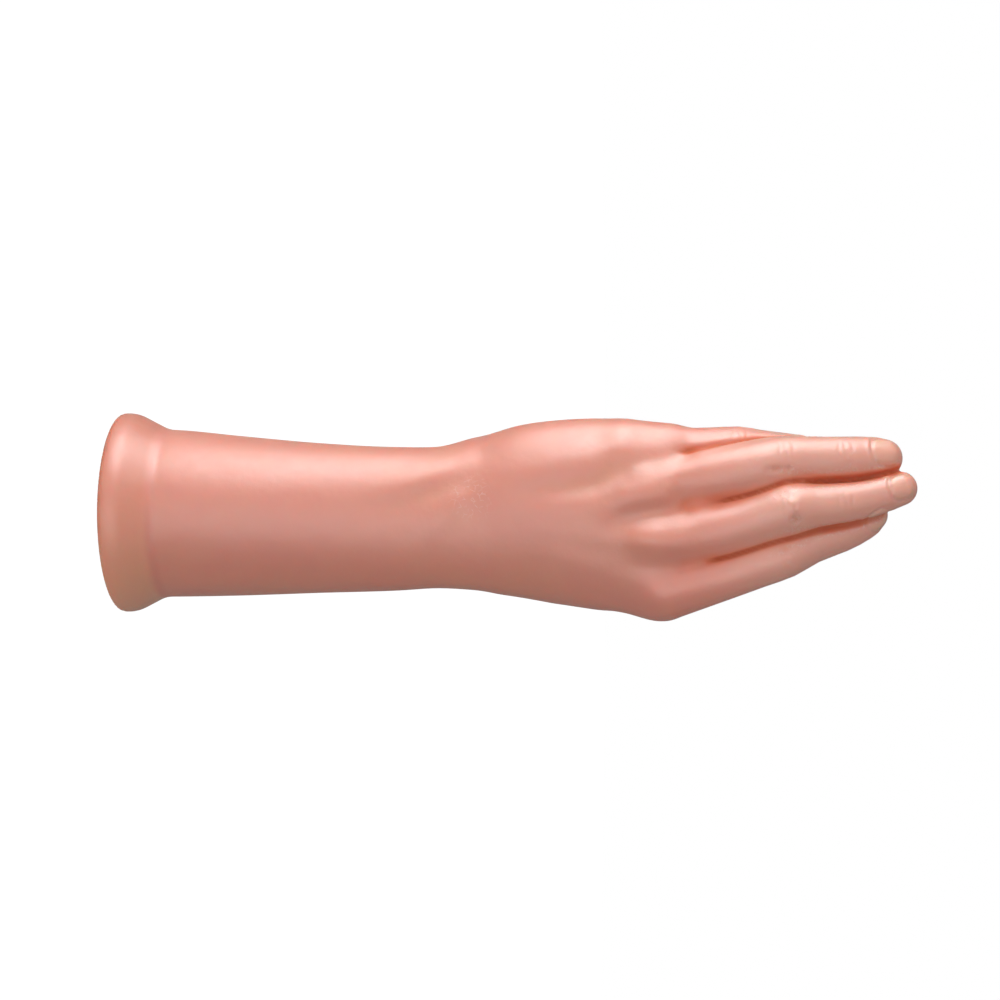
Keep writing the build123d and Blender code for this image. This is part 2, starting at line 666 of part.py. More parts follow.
# ---- foam cores, cuff ring and skin -------------------------------------------------

with BuildPart() as cuff_ring:
    add(cuff_form(SKIN_WALL + SKIN_GAP))
    with BuildSketch():
        Circle(CUFF_RING_R)
    extrude(amount=ROTOR_Z, mode=Mode.SUBTRACT)
    with BuildSketch():
        Circle(ROTOR_FLANGE_R + CUFF_RING_FIT)
    extrude(amount=2 * CUFF_CORNER_Z, mode=Mode.SUBTRACT)
    with BuildSketch(friction_axis):
        Circle(FRICTION_SCREW_R + FRICTION_SCREW_ROOM)
    extrude(amount=2 * ROTOR_FLANGE_R, mode=Mode.SUBTRACT)
    for angle in CUFF_SCREWS_DEG:
        with BuildSketch(cuff_screw_plane(angle)):
            Circle(CUFF_SCREW_R)
        extrude(amount=ROTOR_FLANGE_R, mode=Mode.SUBTRACT)

with BuildPart() as cuff_screws:
    for angle in CUFF_SCREWS_DEG:
        with BuildSketch(cuff_screw_plane(angle)):
            Circle(CUFF_SCREW_R)
        extrude(amount=CUFF_SCREW_OUT - CUFF_SCREW_IN)
        with BuildSketch(cuff_screw_plane(angle).offset(CUFF_SCREW_OUT - CUFF_SCREW_IN)):
            RegularPolygon(CUFF_SOCKET_R, 6, major_radius=False)
        extrude(amount=-CUFF_SOCKET_T, mode=Mode.SUBTRACT)

hinge_pocket = Plane.YZ.offset(-HINGE_POCKET_HALF)

with BuildPart() as forearm_foam:
    add(arm_form(SKIN_WALL + SKIN_GAP))
    add(wrist_side(-1), mode=Mode.INTERSECT)
    with BuildSketch():
        Circle(2 * ROTOR_FLANGE_R)
    extrude(amount=ROTOR_FLANGE_TOP + POCKET_GAP, mode=Mode.SUBTRACT)
    with BuildSketch():
        Circle(TUBE_R + POCKET_GAP)
    extrude(amount=FORK_FLANGE_TOP + POCKET_GAP, mode=Mode.SUBTRACT)
    with BuildSketch(hinge_pocket):
        with Locations((0, WRIST_Z)):
            Circle(HINGE_POCKET_R)
        with Locations((0, (FORK_FLANGE_TOP + WRIST_Z) / 2)):
            Rectangle(2 * HINGE_POCKET_R, WRIST_Z - FORK_FLANGE_TOP)
    extrude(amount=2 * HINGE_POCKET_HALF, mode=Mode.SUBTRACT)

with BuildPart() as hand_foam:
    add(body_form(SKIN_WALL + SKIN_GAP))
    add(wrist_side(1), mode=Mode.INTERSECT)
    with BuildSketch(hinge_pocket):
        with Locations((0, WRIST_Z)):
            Circle(HINGE_POCKET_R)
    extrude(amount=2 * HINGE_POCKET_HALF, mode=Mode.SUBTRACT)
    with BuildSketch(Plane.XY.offset(WRIST_Z)):
        Rectangle(KNUCKLE_FLANGE[0] + 2 * POCKET_GAP, KNUCKLE_FLANGE[1] + 2 * POCKET_GAP)
    extrude(amount=CHASSIS_Z + foot_t + POCKET_GAP - WRIST_Z, mode=Mode.SUBTRACT)
    with BuildSketch(clamp_plane.offset(CHASSIS_T + POCKET_GAP)):
        add(chassis_outline(POCKET_GAP))
    extrude(amount=-CHASSIS_T - CLAMP_T - CLAMP_SCREW_HEAD_T - 2 * POCKET_GAP, mode=Mode.SUBTRACT)
    for name in DIGITS:
        add(wire_form(name, WIRE_R + WIRE_FIT), mode=Mode.SUBTRACT)
        add(cap_form(name, bore=False), mode=Mode.SUBTRACT)

with BuildPart() as cosmetic_skin:
    add(body_form(0))
    add(body_form(SKIN_WALL), mode=Mode.SUBTRACT)
    with BuildSketch():
        Circle(SKIN_MOUTH_R)
    extrude(amount=SKIN_MOUTH_TOP, mode=Mode.SUBTRACT)

pieces = {
    "coupling_plate": coupling_plate.part,
    "retaining_ring": retaining_ring.part,
    "thrust_washer": thrust_washer.part,
    "rotor_housing": rotor_housing.part,
    "rotor_bush": rotor_bush.part,
    "friction_pad": friction_pad.part,
    "friction_screw": friction_screw.part,
    "forearm_tube": forearm_tube.part,
    "tube_screws": tube_screws.part,
    "wrist_fork": wrist_fork.part,
    "wrist_axle": wrist_axle.part,
    "spring_washer": spring_washer.part,
    "axle_nut": axle_nut.part,
    "friction_washers": friction_washers.part,
    "wrist_knuckle": wrist_knuckle.part,
    "axle_bushes": axle_bushes.part,
    "hand_chassis": hand_chassis.part,
    "chassis_screws": chassis_screws.part,
    "wire_clamp": wire_clamp.part,
    "thumb_clamp": thumb_clamp.part,
    "clamp_screws": clamp_screws.part,
    "cuff_ring": cuff_ring.part,
    "cuff_screws": cuff_screws.part,
    "forearm_foam": forearm_foam.part,
    "hand_foam": hand_foam.part,
    "cosmetic_skin": cosmetic_skin.part,
}
for name in DIGITS:
    pieces[f"{name}_wire"] = wire_form(name, WIRE_R)
    pieces[f"{name}_wire_cap"] = cap_form(name, bore=True)

for name, piece in pieces.items():
    piece.label = name
    export_step(piece, f"parts/{name}.step")
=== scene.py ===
"""The looks of a passive prosthetic hand: a seamless elastomer skin over two foam cores.

The skin and the cores are one smooth solid form, written as a distance field in millimetres
and turned into meshes by surface nets. +Z runs to the fingertips, -Y is the back of the hand,
and +X is the thumb side, as in the CAD frame.
"""

from math import cos, radians, sin, tan

import bmesh
import bpy
import numpy as np
from mathutils import Matrix, Vector


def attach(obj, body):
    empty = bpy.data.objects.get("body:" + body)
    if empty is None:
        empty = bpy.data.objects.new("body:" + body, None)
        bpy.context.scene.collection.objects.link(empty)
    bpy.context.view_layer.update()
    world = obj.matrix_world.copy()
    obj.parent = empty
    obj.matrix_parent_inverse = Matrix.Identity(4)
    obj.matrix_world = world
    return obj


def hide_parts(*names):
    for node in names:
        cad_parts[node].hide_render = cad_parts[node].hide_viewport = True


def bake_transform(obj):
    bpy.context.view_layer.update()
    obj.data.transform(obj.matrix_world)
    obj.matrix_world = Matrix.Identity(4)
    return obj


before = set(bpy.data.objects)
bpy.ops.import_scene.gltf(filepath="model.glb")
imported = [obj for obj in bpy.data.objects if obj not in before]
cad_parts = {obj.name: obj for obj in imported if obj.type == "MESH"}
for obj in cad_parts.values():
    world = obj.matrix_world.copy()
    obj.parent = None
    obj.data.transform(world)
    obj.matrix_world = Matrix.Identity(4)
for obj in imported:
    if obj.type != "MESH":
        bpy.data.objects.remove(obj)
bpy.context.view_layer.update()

MM = 0.001

# ---- the form, in millimetres ---------------------------------------------------------

WALL = 2.5  # thickness of the skin
CORE_GAP = 0.35  # between the skin and the foam cores
WRIST_Z = 130.0
MOUTH_R = 33.5  # opening in the cuff's rolled lip

# Forearm and palm: height, little-finger side, thumb side, back, palm, squareness
ARM = np.array(
    [
        (0, -34.8, 35.2, -34.6, 34.6, 2.0),
        (24, -34.4, 35.1, -34.0, 34.0, 2.0),
        (52, -31.7, 34.5, -31.8, 31.4, 2.0),
        (84, -28.8, 33.3, -28.2, 28.4, 2.05),
        (117, -27.1, 32.2, -24.4, 25.2, 2.15),
        (134, -27.2, 31.2, -22.8, 23.6, 2.15),
        (150, -29.2, 32.0, -22.2, 22.0, 2.15),
        (166, -34.8, 33.4, -23.0, 20.5, 2.1),
        (184, -37.2, 36.4, -23.8, 19.5, 2.05),
        (205, -36.8, 40.0, -22.8, 18.0, 2.05),
        (224, -34.4, 41.6, -19.0, 16.0, 2.1),
        (240, -32.0, 34.0, -13.0, 14.0, 2.3),
    ],
    float,
)
PALM_END = 237.0
PALM_END_ROUND = 10.0
AXIS_SHARE = 0.05  # this near to its axis the arm's field is given its deepest value
DEEPEST = -20.0

# Digits: x, y, z and radius of each round section, from the knuckle to the tip
FINGERS = {
    "index": [
        (31.0, -7.5, 228, 12.2),
        (25.8, -8.6, 249, 9.9),
        (20.8, -8.8, 264, 9.4),
        (17.0, -8.4, 275, 9.2),
        (12.2, -6.8, 285, 8.4),
        (8.0, -5.4, 297, 7.9),
        (4.4, -4.2, 305, 7.3),
        (1.0, -3.2, 309.6, 6.6),
    ],
    "middle": [
        (11.0, -11.0, 226, 12.0),
        (6.6, -11.7, 250, 11.2),
        (2.1, -12.0, 265, 10.6),
        (-1.4, -12.2, 276, 10.9),
        (-2.7, -11.4, 286, 9.5),
        (-3.9, -10.4, 298, 8.8),
        (-5.8, -9.2, 308, 8.0),
        (-9.8, -7.6, 320.7, 6.9),
    ],
    "ring": [
        (-10.8, -9.0, 222, 11.5),
        (-14.8, -9.8, 247, 11.4),
        (-18.1, -10.0, 264, 11.1),
        (-20.6, -8.8, 275, 10.2),
        (-21.0, -7.8, 285, 9.6),
        (-21.4, -6.6, 298, 9.3),
        (-21.8, -5.4, 306, 8.9),
        (-22.0, -4.4, 314.2, 7.8),
    ],
    "little": [
        (-25.0, -4.0, 213, 10.5),
        (-25.0, -2.9, 233, 9.6),
        (-25.4, -1.8, 245, 9.3),
        (-25.9, -0.5, 256, 9.2),
        (-25.3, 0.8, 264, 8.6),
        (-24.7, 2.0, 271, 8.3),
        (-24.1, 3.0, 278, 8.0),
        (-23.2, 4.4, 286, 7.3),
    ],
}
WEBS = [("index", "middle", 241.0), ("middle", "ring", 245.0), ("ring", "little", 229.0)]
WEB_SOFT = 9.0  # blending radius below a web
WEB_BELOW, WEB_ABOVE = 7.0, 5.0  # it changes from this far below a web to this far above
FINGER_TOUCH = 6.0  # blending radius where two fingers press together
TIP_TOUCH = 2.0  # and at their tips
TIPS_FROM_Z = 296.0
TIPS_RUN = 20.0  # length over which it changes to that
THUMB = [
    (18.0, 6.0, 165, 13.0),
    (25.0, 11.5, 200, 14.0),
    (20.0, 15.5, 224, 12.3),
    (13.0, 16.5, 240, 11.6),
    (7.5, 15.8, 252, 10.4),
    (3.0, 14.5, 262, 9.5),
]
CONES_PER_SECTION = 2
HEEL = [(-16.0, 6.0, 152, 12.0), (-21.5, 5.5, 200, 13.2)]  # the pad under the little finger
HEEL_SOFT = 12.0
# How the fingers and the thumb join the palm: the height that they lie above, the blending
# radius low down and high up, and the heights between which it changes
FINGERS_JOIN = (190, (9.0, 2.0), (228, 246))
THUMB_JOIN = (140, (10.0, 1.3), (196, 232))

RELIEF_FADE = 10.0  # the relief fades out this near to the middle plane of the hand

# Low relief on the back of the hand: half width, then x, z and height along each line
BACK_RELIEF = [
    (5.0, (-2.5, 150, 0.0), (-2.0, 172, 0.4), (-1.5, 192, 0.8), (-3.0, 204, 0.6), (-6.0, 214, 0.3)),
    (5.0, (3.0, 152, 0.0), (6.0, 178, 0.4), (9.0, 205, 0.6), (10.0, 222, 0.4)),
    (5.0, (9.0, 155, 0.0), (17.0, 185, 0.3), (28.0, 218, 0.4)),
    (5.0, (-14.0, 155, 0.0), (-20.0, 180, 0.4), (-26.0, 208, 0.5)),
    (4.6, (-4.5, 164, 0.0), (-9.5, 182, -0.9), (-12.0, 198, -1.4), (-15.5, 209, -0.9)),
    (6.0, (-7.5, 213, 1.7), (-8.0, 226, 1.4)),
    (4.4, (5.0, 200, 0.0), (2.5, 211, -0.8), (0.3, 222, -1.1), (-2.0, 233, -0.6)),
    (6.5, (10.5, 217, 1.3), (12.0, 231, 1.0)),
    (4.8, (21.5, 212, -0.2), (21.5, 226, -0.8), (19.5, 238, -0.4)),
    (6.0, (32.0, 224, 0.8), (31.0, 234, 0.6)),
    (4.0, (-19.5, 206, -0.5), (-21.0, 224, -0.8), (-23.5, 236, -0.5)),
    (4.4, (1.0, 104, 0.0), (-5.5, 127, -0.8), (-8.4, 134, -0.9), (-13.7, 147, -0.4)),
    (5.0, (-7.0, 104, 0.0), (-14.0, 126, 0.7), (-22.0, 146, 0.5)),
    (3.6, (11.3, 130, 0.1), (1.8, 139, 0.4), (-5.5, 144, 0.4)),
]
# Creases and hollows of the palm, in the same terms
PALM_RELIEF = [
    (3.2, (14.0, 158, -0.6), (6.0, 178, -0.9), (8.0, 205, -0.8)),
    (7.0, (-2.0, 168, -1.4), (-4.0, 205, -2.0)),
    (3.2, (-30.0, 216, -0.7), (-8.0, 222, -0.9)),
    (3.0, (-34.0, 203, -0.6), (2.0, 210, -0.7)),
    (3.4, (-24.0, 131, -0.4), (0.0, 130, -0.6), (26.0, 132, -0.4)),
]

# Cuff: the flared foot
CUFF_BOTTOM = 0.8
CUFF_R = 41.4
CUFF_STRAIGHT = 7.0  # top of the straight part of the rim
CUFF_SLOPE = radians(27.5)  # of the flare, from the vertical
CUFF_TOP = 20.5
CUFF_ROUND = 2.2  # rounding of the rim's lower edge
CUFF_SHOULDER = 1.5  # rounding where the rim meets the flare
CUFF_EDGE_SOFT = 1.0
CREASE_SOFT = 1.4  # rounding where the flare meets the forearm

# The wall of the skin
WALL_EDGE_SOFT = 0.5
MOUTH_SOFT = 0.8
MOUTH_TOP = CUFF_BOTTOM + WALL + MOUTH_SOFT


def smooth_union(a, b, k):
    """The union of two distance fields, blended over a distance k."""
    h = np.clip(0.5 + 0.5 * (b - a) / k, 0, 1)
    return b + (a - b) * h - k * h * (1 - h)


def smooth_common(a, b, k):
    """What two distance fields share, with its edge rounded over k."""
    return -smooth_union(-a, -b, k)


def smoothstep(low, high, value):
    t = np.clip((value - low) / (high - low), 0, 1)
    return t * t * (3 - 2 * t)


def smooth_curve(stations, values, at):
    """Values between the stations, on a smooth curve through all of them."""
    slopes = np.gradient(values, stations)
    at = np.clip(at, stations[0], stations[-1])
    i = np.clip(np.searchsorted(stations, at) - 1, 0, len(stations) - 2)
    step = stations[i + 1] - stations[i]
    t = (at - stations[i]) / step
    start = values[i] * (1 + 2 * t) * (1 - t) ** 2 + slopes[i] * step * t * (1 - t) ** 2
    end = values[i + 1] * t**2 * (3 - 2 * t) + slopes[i + 1] * step * t**2 * (t - 1)
    return start + end


def along_arm(z, column):
    """A column of ARM at height z."""
    return smooth_curve(ARM[:, 0], ARM[:, column], z)


def arm_field(p):
    """Forearm and palm: rounded cross-sections that change along the arm."""
    x, y, z = p.T
    little, thumb, back, palm, power = (along_arm(z, column) for column in range(1, 6))
    dx = x - (little + thumb) / 2
    dy = y - (back + palm) / 2
    sides = np.abs(dx / ((thumb - little) / 2)) ** power
    faces = np.abs(dy / ((palm - back) / 2)) ** power
    share = np.maximum(sides + faces, 1e-6) ** (1 / power)
    distance = np.hypot(dx, dy) * (1 - 1 / share)
    distance[share < AXIS_SHARE] = DEEPEST
    distance = smooth_common(distance, CUFF_TOP / 2 - z, CUFF_EDGE_SOFT)
    return smooth_common(distance, z - PALM_END, PALM_END_ROUND)


def cuff_field(p):
    """The flared foot, turned about the arm's axis."""
    r = np.hypot(p[:, 0], p[:, 1])
    z = p[:, 2]
    slope = (r - CUFF_R) * cos(CUFF_SLOPE) + (z - CUFF_STRAIGHT) * sin(CUFF_SLOPE)
    rim = smooth_common(r - CUFF_R, slope, CUFF_SHOULDER)
    rim = smooth_common(rim, CUFF_BOTTOM - z, CUFF_ROUND)
    return smooth_common(rim, z - CUFF_TOP, CUFF_EDGE_SOFT)


def round_cone(p, start, end, start_r, end_r):
    """A rod with round ends of different radii."""
    axis = end - start
    length2 = axis @ axis
    dr = start_r - end_r
    slant2 = length2 - dr * dr
    from_start = p - start
    y = from_start @ axis
    z = y - length2
    across = from_start * length2 - y[:, None] * axis
    x2 = np.einsum("ij,ij->i", across, across)
    y2 = y * y * length2
    z2 = z * z * length2
    k = np.sign(dr) * dr * dr * x2
    at_end = np.sqrt(x2 + z2) / length2 - end_r
    at_start = np.sqrt(x2 + y2) / length2 - start_r
    between = (np.sqrt(x2 * slant2 / length2) + y * dr) / length2 - start_r
    on_end = np.sign(z) * slant2 * z2 > k
    on_start = np.sign(y) * slant2 * y2 < k
    return np.where(on_end, at_end, np.where(on_start, at_start, between))


def chain_field(p, sections):
    """A digit: short round cones along a smooth curve through its sections."""
    sections = np.array(sections, float)
    count = len(sections)
    places = np.linspace(0, count - 1, CONES_PER_SECTION * (count - 1) + 1)
    curve = [smooth_curve(np.arange(count), column, places) for column in sections.T]
    centres = np.stack(curve[:3], 1)
    radii = curve[3]
    field = np.full(len(p), np.inf)
    for i in range(len(places) - 1):
        cone = round_cone(p, centres[i], centres[i + 1], radii[i], radii[i + 1])
        field = np.minimum(field, cone)
    return field


def fingers_field(p):
    """The four fingers, webbed near the knuckles and touching beyond."""
    z = p[:, 2]
    fields = {name: chain_field(p, sections) for name, sections in FINGERS.items()}
    field = fields["index"]
    for _, name, web in WEBS:
        k = WEB_SOFT + (FINGER_TOUCH - WEB_SOFT) * smoothstep(web - WEB_BELOW, web + WEB_ABOVE, z)
        k = k + (TIP_TOUCH - k) * smoothstep(TIPS_FROM_Z - TIPS_RUN, TIPS_FROM_Z, z)
        field = smooth_union(field, fields[name], k)
    return field


def line_height(x, z, width, points):
    """Height of a ridge or furrow that fades to each side of a line of points."""
    nearest = np.full(len(x), np.inf)
    rise = np.zeros(len(x))
    for (x0, z0, rise0), (x1, z1, rise1) in zip(points, points[1:]):
        dx, dz = x1 - x0, z1 - z0
        t = np.clip(((x - x0) * dx + (z - z0) * dz) / (dx * dx + dz * dz), 0, 1)
        distance = np.hypot(x - x0 - t * dx, z - z0 - t * dz)
        closer = distance < nearest
        nearest = np.where(closer, distance, nearest)
        rise = np.where(closer, rise0 + t * (rise1 - rise0), rise)
    return rise * np.exp(-((nearest / width) ** 2))


def relief(p, lines, side):
    """Height of the low relief on the back (side -1) or on the palm (side +1)."""
    x, y, z = p.T
    height = sum(line_height(x, z, width, points) for width, *points in lines)
    return height * smoothstep(0, RELIEF_FADE, side * y)


def blend_above(field, p, part, low_z, radii, heights):
    """Blends in a part that lies wholly above low_z.

    The blending radius goes from the first of radii to the second between two heights.
    """
    above = p[:, 2] > low_z
    q = p[above]
    k = radii[0] + (radii[1] - radii[0]) * smoothstep(*heights, q[:, 2])
    field[above] = smooth_union(field[above], part(q), k)


def coarse_form(p):
    """The whole hand with its forearm and cuff, without fine detail."""
    field = arm_field(p)
    field = smooth_union(field, chain_field(p, HEEL), HEEL_SOFT)
    blend_above(field, p, fingers_field, *FINGERS_JOIN)
    blend_above(field, p, lambda q: chain_field(q, THUMB), *THUMB_JOIN)
    field = smooth_union(field, cuff_field(p), CREASE_SOFT)
    return field - relief(p, BACK_RELIEF, -1) - relief(p, PALM_RELIEF, 1)


def shell(p, form, outer=None):
    """The skin: a wall of even thickness, open at the cuff's mouth.

    Above the cuff, outer says which points belong to the outer of the wall's two faces.
    """
    surface = form(p)
    wall = smooth_common(surface, -surface - WALL, WALL_EDGE_SOFT)
    mouth = np.maximum(np.hypot(p[:, 0], p[:, 1]) - MOUTH_R, p[:, 2] - MOUTH_TOP)
    whole = smooth_common(wall, -mouth, MOUTH_SOFT)
    if outer is None:
        return whole
    return np.where(p[:, 2] < CUFF_TOP / 2, whole, np.where(outer, surface, -surface - WALL))


# ---- meshes from fields ---------------------------------------------------------------

COARSE = 3  # the field is first read at every third grid point
BAND = 16.0  # and then in full only this near to the surface
LEAST_SLOPE2 = 0.2  # a flatter field isn't trusted for the length of a step
LONGEST_STEP = 1.0
RELAXING = 0.6  # share of the way to its neighbours' middle that a vertex moves


def read_grid(field, axes):
    """The field at every grid point, exact near the surface and stepped elsewhere."""
    grid = np.stack(np.meshgrid(*axes, indexing="ij"), -1)
    coarse_grid = grid[::COARSE, ::COARSE, ::COARSE]
    values = field(coarse_grid.reshape(-1, 3)).reshape(coarse_grid.shape[:3])
    for axis in range(3):
        values = np.repeat(values, COARSE, axis=axis)
    values = values[: grid.shape[0], : grid.shape[1], : grid.shape[2]].copy()
    near = np.abs(values) < BAND
    values[near] = field(grid[near])
    return grid, values


def surface_nets(field, axes):
    """Vertices and quads of the surface where the field is zero."""
    grid, values = read_grid(field, axes)
    inside = values < 0
    cells = tuple(n - 1 for n in inside.shape)
    total = np.zeros(cells + (3,))
    count = np.zeros(cells, int)
    edges = []
    for axis in range(3):
        low = [slice(None)] * 3
        high = [slice(None)] * 3
        low[axis] = slice(None, -1)
        high[axis] = slice(1, None)
        low, high = tuple(low), tuple(high)
        crossed = inside[low] != inside[high]
        gap = np.where(crossed, values[low] - values[high], 1.0)
        t = np.where(crossed, values[low] / gap, 0.0)[..., None]
        point = (grid[low] * (1 - t) + grid[high] * t) * crossed[..., None]
        edges.append((axis, crossed, inside[low]))
        one, two = [other for other in range(3) if other != axis]
        for i in (0, 1):
            for j in (0, 1):
                part = [slice(None)] * 3
                part[one] = slice(i, cells[one] + i)
                part[two] = slice(j, cells[two] + j)
                total += point[tuple(part)]
                count += crossed[tuple(part)]
    used = count > 0
    number = np.full(cells, -1)
    number[used] = np.arange(used.sum())
    points = total[used] / count[used][:, None]
    quads = []
    for axis, crossed, starts_inside in edges:
        one, two = [(1, 2), (2, 0), (0, 1)][axis]
        where = np.argwhere(crossed)
        where = where[(where[:, one] > 0) & (where[:, two] > 0)]
        where = where[(where[:, one] < cells[one]) & (where[:, two] < cells[two])]
        flip = ~starts_inside[tuple(where.T)]
        corners = []
        for i, j in ((-1, -1), (0, -1), (0, 0), (-1, 0)):
            cell = where.copy()
            cell[:, one] += i
            cell[:, two] += j
            corners.append(number[tuple(cell.T)])
        quad = np.stack(corners, 1)
        quad[flip] = quad[flip][:, ::-1]
        quads.append(quad)
    return points, np.concatenate(quads)


def gradient(field, points, step=0.15):
    """The field's slope at each point."""
    slopes = []
    for axis in range(3):
        shift = np.zeros(3)
        shift[axis] = step
        slopes.append((field(points + shift) - field(points - shift)) / (2 * step))
    return np.stack(slopes, 1)


def project(points, field, rounds):
    """The points moved onto the surface where the field is zero."""
    for _ in range(rounds):
        slope = gradient(field, points)
        steep = np.maximum(np.einsum("ij,ij->i", slope, slope), LEAST_SLOPE2)
        step = field(points)[:, None] * slope / steep[:, None]
        size = np.linalg.norm(step, axis=1, keepdims=True)
        points = points - step * np.minimum(1, LONGEST_STEP / np.maximum(size, 1e-9))
    return points


def relax(points, quads, field, rounds):
    """The same surface with its vertices spread more evenly."""
    sides = np.concatenate([quads[:, [i, (i + 1) % 4]] for i in range(4)])
    sides = np.unique(np.sort(sides, axis=1), axis=0)
    count = np.bincount(sides.ravel(), minlength=len(points))[:, None]
    for _ in range(rounds):
        total = np.zeros_like(points)
        np.add.at(total, sides[:, 0], points[sides[:, 1]])
        np.add.at(total, sides[:, 1], points[sides[:, 0]])
        points = project(points + RELAXING * (total / count - points), field, 1)
    return points


def spaced(*stretches):
    """Grid lines along one axis: (start, end, spacing) for each stretch in turn."""
    lines = []
    for start, end, spacing in stretches:
        steps = max(1, round((end - start) / spacing))
        lines.append(np.linspace(start, end, steps, endpoint=False))
    return np.concatenate(lines + [[stretches[-1][1]]])


def make_object(name, points, faces):
    """A smooth-shaded mesh object from points in millimetres."""
    mesh = bpy.data.meshes.new(name)
    mesh.from_pydata((points * MM).tolist(), [], faces.tolist())
    mesh.shade_smooth()
    obj = bpy.data.objects.new(name, mesh)
    bpy.context.scene.collection.objects.link(obj)
    return obj


# ---- fine detail of the fingers ---------------------------------------------------------

# Which way each nail faces, across the finger
NAIL_FACING = {
    "index": (0.42, -0.91, 0),
    "middle": (-0.12, -0.99, 0),
    "ring": (-0.45, -0.89, 0),
    "little": (-0.65, -0.76, 0),
    "thumb": (0.45, 0.89, 0),
}
NAIL_HALF_LENGTH = 0.70  # in tip radii, as are the next two
NAIL_HALF_WIDTH = 0.74
NAIL_BACK = 0.05  # the nail's middle lies this far behind the tip's centre
NAIL_POWERS = (3, 2.6, 2.8)  # of its squarish outline: along it, across it, and of the whole
NAIL_EDGE = 0.35  # half width of its soft edge, mm
NAIL_GROOVE = 0.6  # depth of the fold round the nail
NAIL_GROOVE_HALF = 0.6
NAIL_RISE = 0.3
NAIL_LIP = 0.22  # height of the skin's lip round the nail
NAIL_LIP_OUT = 1.5  # distance of the lip from the nail's edge
NAIL_LIP_HALF = 1.1
FOLD_END = (0.75, 0.35)  # where along the nail the fold fades out, in tip radii
LIP_END = (0.3, -0.2)  # and the lip
PRESS_WIDTH = 2.8  # of the sharp line where two fingers press together
PRESS_DEPTH = 0.7
JOINT_SECTIONS = (-5, -3)  # the sections of a digit that lie at its joints
JOINT_LINES = (-2.6, 0.0, 2.6)  # wrinkles over the back of each joint, along the finger
WRINKLE_DEPTH = 0.2
WRINKLE_HALF = 0.55
WRINKLE_BOW = 0.03
WRINKLE_WANDER = 0.35
WANDER_RATE = 0.9  # radians per mm across the finger
CREASE_DEPTH = 0.3  # of the single crease under each joint
CREASE_HALF = 0.8
# Dimples and bumps over the knuckle joints: x, z, half width, half length and depth
DIMPLES = [
    (-17.4, 271.0, 1.3, 3.4, 0.75),
    (-18.0, 276.5, 1.1, 1.4, 0.45),
    (2.6, 278.8, 1.9, 1.9, 0.9),
    (-6.5, 276.0, 2.2, 2.6, 0.35),
    (-3.2, 278.5, 3.0, 3.0, -0.45),
    (15.0, 275.0, 1.6, 2.2, 0.4),
    (-19.5, 300.0, 1.2, 2.2, 0.3),
]
FINE_FROM_Z = 244.0  # the fingers beyond this height get a finer mesh
BACK_SLOPE = 0.3  # where the surface faces the back, or the palm no more than this
DETAIL_FROM_Z = FINE_FROM_Z - 16  # and the fine detail starts a little lower
DIGIT_REACH = 6.0  # a digit's detail is read only this near to its sections
PRESS_REACH = (4.0, 1.5)  # distances from both fingers where the line fades in
PRESS_FROM_WEB = (-1, 8)  # and the heights above a web where it does
BACK_FADE = 3.0  # it is whole this far from the fingers' middles toward their backs
DIMPLE_FADE = 6.0
CAVITY_REACHES = (1.5, 3.0, 6.0, 10.0)  # how far out the look into a fold goes


def finger_axes(sections, index, facing):
    """A section's centre, the way along the digit there, across it and out of its back."""
    points = [np.array(section[:3], float) for section in sections]
    index %= len(points)
    along = points[min(index + 1, len(points) - 1)] - points[index - 1]
    along /= np.linalg.norm(along)
    out = np.array(facing, float)
    out -= along * (out @ along)
    out /= np.linalg.norm(out)
    return points[index], along, np.cross(along, out), out


def nail_shape(p, sections, facing):
    """Height of one nail with the fold round it, and how far inside the nail a point is.

    a, b and c are a point's place along, across and out of the fingertip, in tip radii. The
    fold and the lip run round the nail's root and sides, and fade out towards its free end.
    """
    centre, along, across, out = finger_axes(sections, len(sections) - 1, facing)
    radius = sections[-1][3]
    offset = p - centre
    a = offset @ along / radius + NAIL_BACK
    b = offset @ across / radius
    c = offset @ out / radius
    power_a, power_b, whole = NAIL_POWERS
    size = np.abs(a / NAIL_HALF_LENGTH) ** power_a + np.abs(b / NAIL_HALF_WIDTH) ** power_b
    edge = (size ** (1 / whole) - 1) * radius * NAIL_HALF_WIDTH
    facing_out = smoothstep(0.0, 0.3, c)
    inside = smoothstep(NAIL_EDGE, -NAIL_EDGE, edge) * facing_out
    fold = np.exp(-((edge / NAIL_GROOVE_HALF) ** 2)) * facing_out * smoothstep(*FOLD_END, a)
    lip = np.exp(-(((edge - NAIL_LIP_OUT) / NAIL_LIP_HALF) ** 2)) * facing_out
    lip *= smoothstep(*LIP_END, a)
    return NAIL_RISE * inside - NAIL_GROOVE * fold + NAIL_LIP * lip, inside


def joint_lines(p, sections, facing):
    """Height of the wrinkles over a finger's joints and of the creases under them.

    a, b and c are a point's place along, across and out of the joint's back. The wrinkles
    bow away from the joint's middle and wander a little.
    """
    height = np.zeros(len(p))
    for index in JOINT_SECTIONS:
        centre, along, across, out = finger_axes(sections, index, facing)
        radius = sections[index][3]
        offset = p - centre
        a, b, c = offset @ along, offset @ across, offset @ out
        near = np.exp(-((b / (radius / 2)) ** 2)) * smoothstep(0, radius / 2, c)
        for line in JOINT_LINES:
            wander = WRINKLE_WANDER * np.sin(WANDER_RATE * b + line)
            bent = a - line * (1 + WRINKLE_BOW * b * b / radius) - wander
            height -= WRINKLE_DEPTH * near * np.exp(-((bent / WRINKLE_HALF) ** 2))
        under = smoothstep(0, -radius / 2, c) * (np.abs(b) < radius + 1)
        height -= CREASE_DEPTH * under * np.exp(-((a / CREASE_HALF) ** 2))
    return height


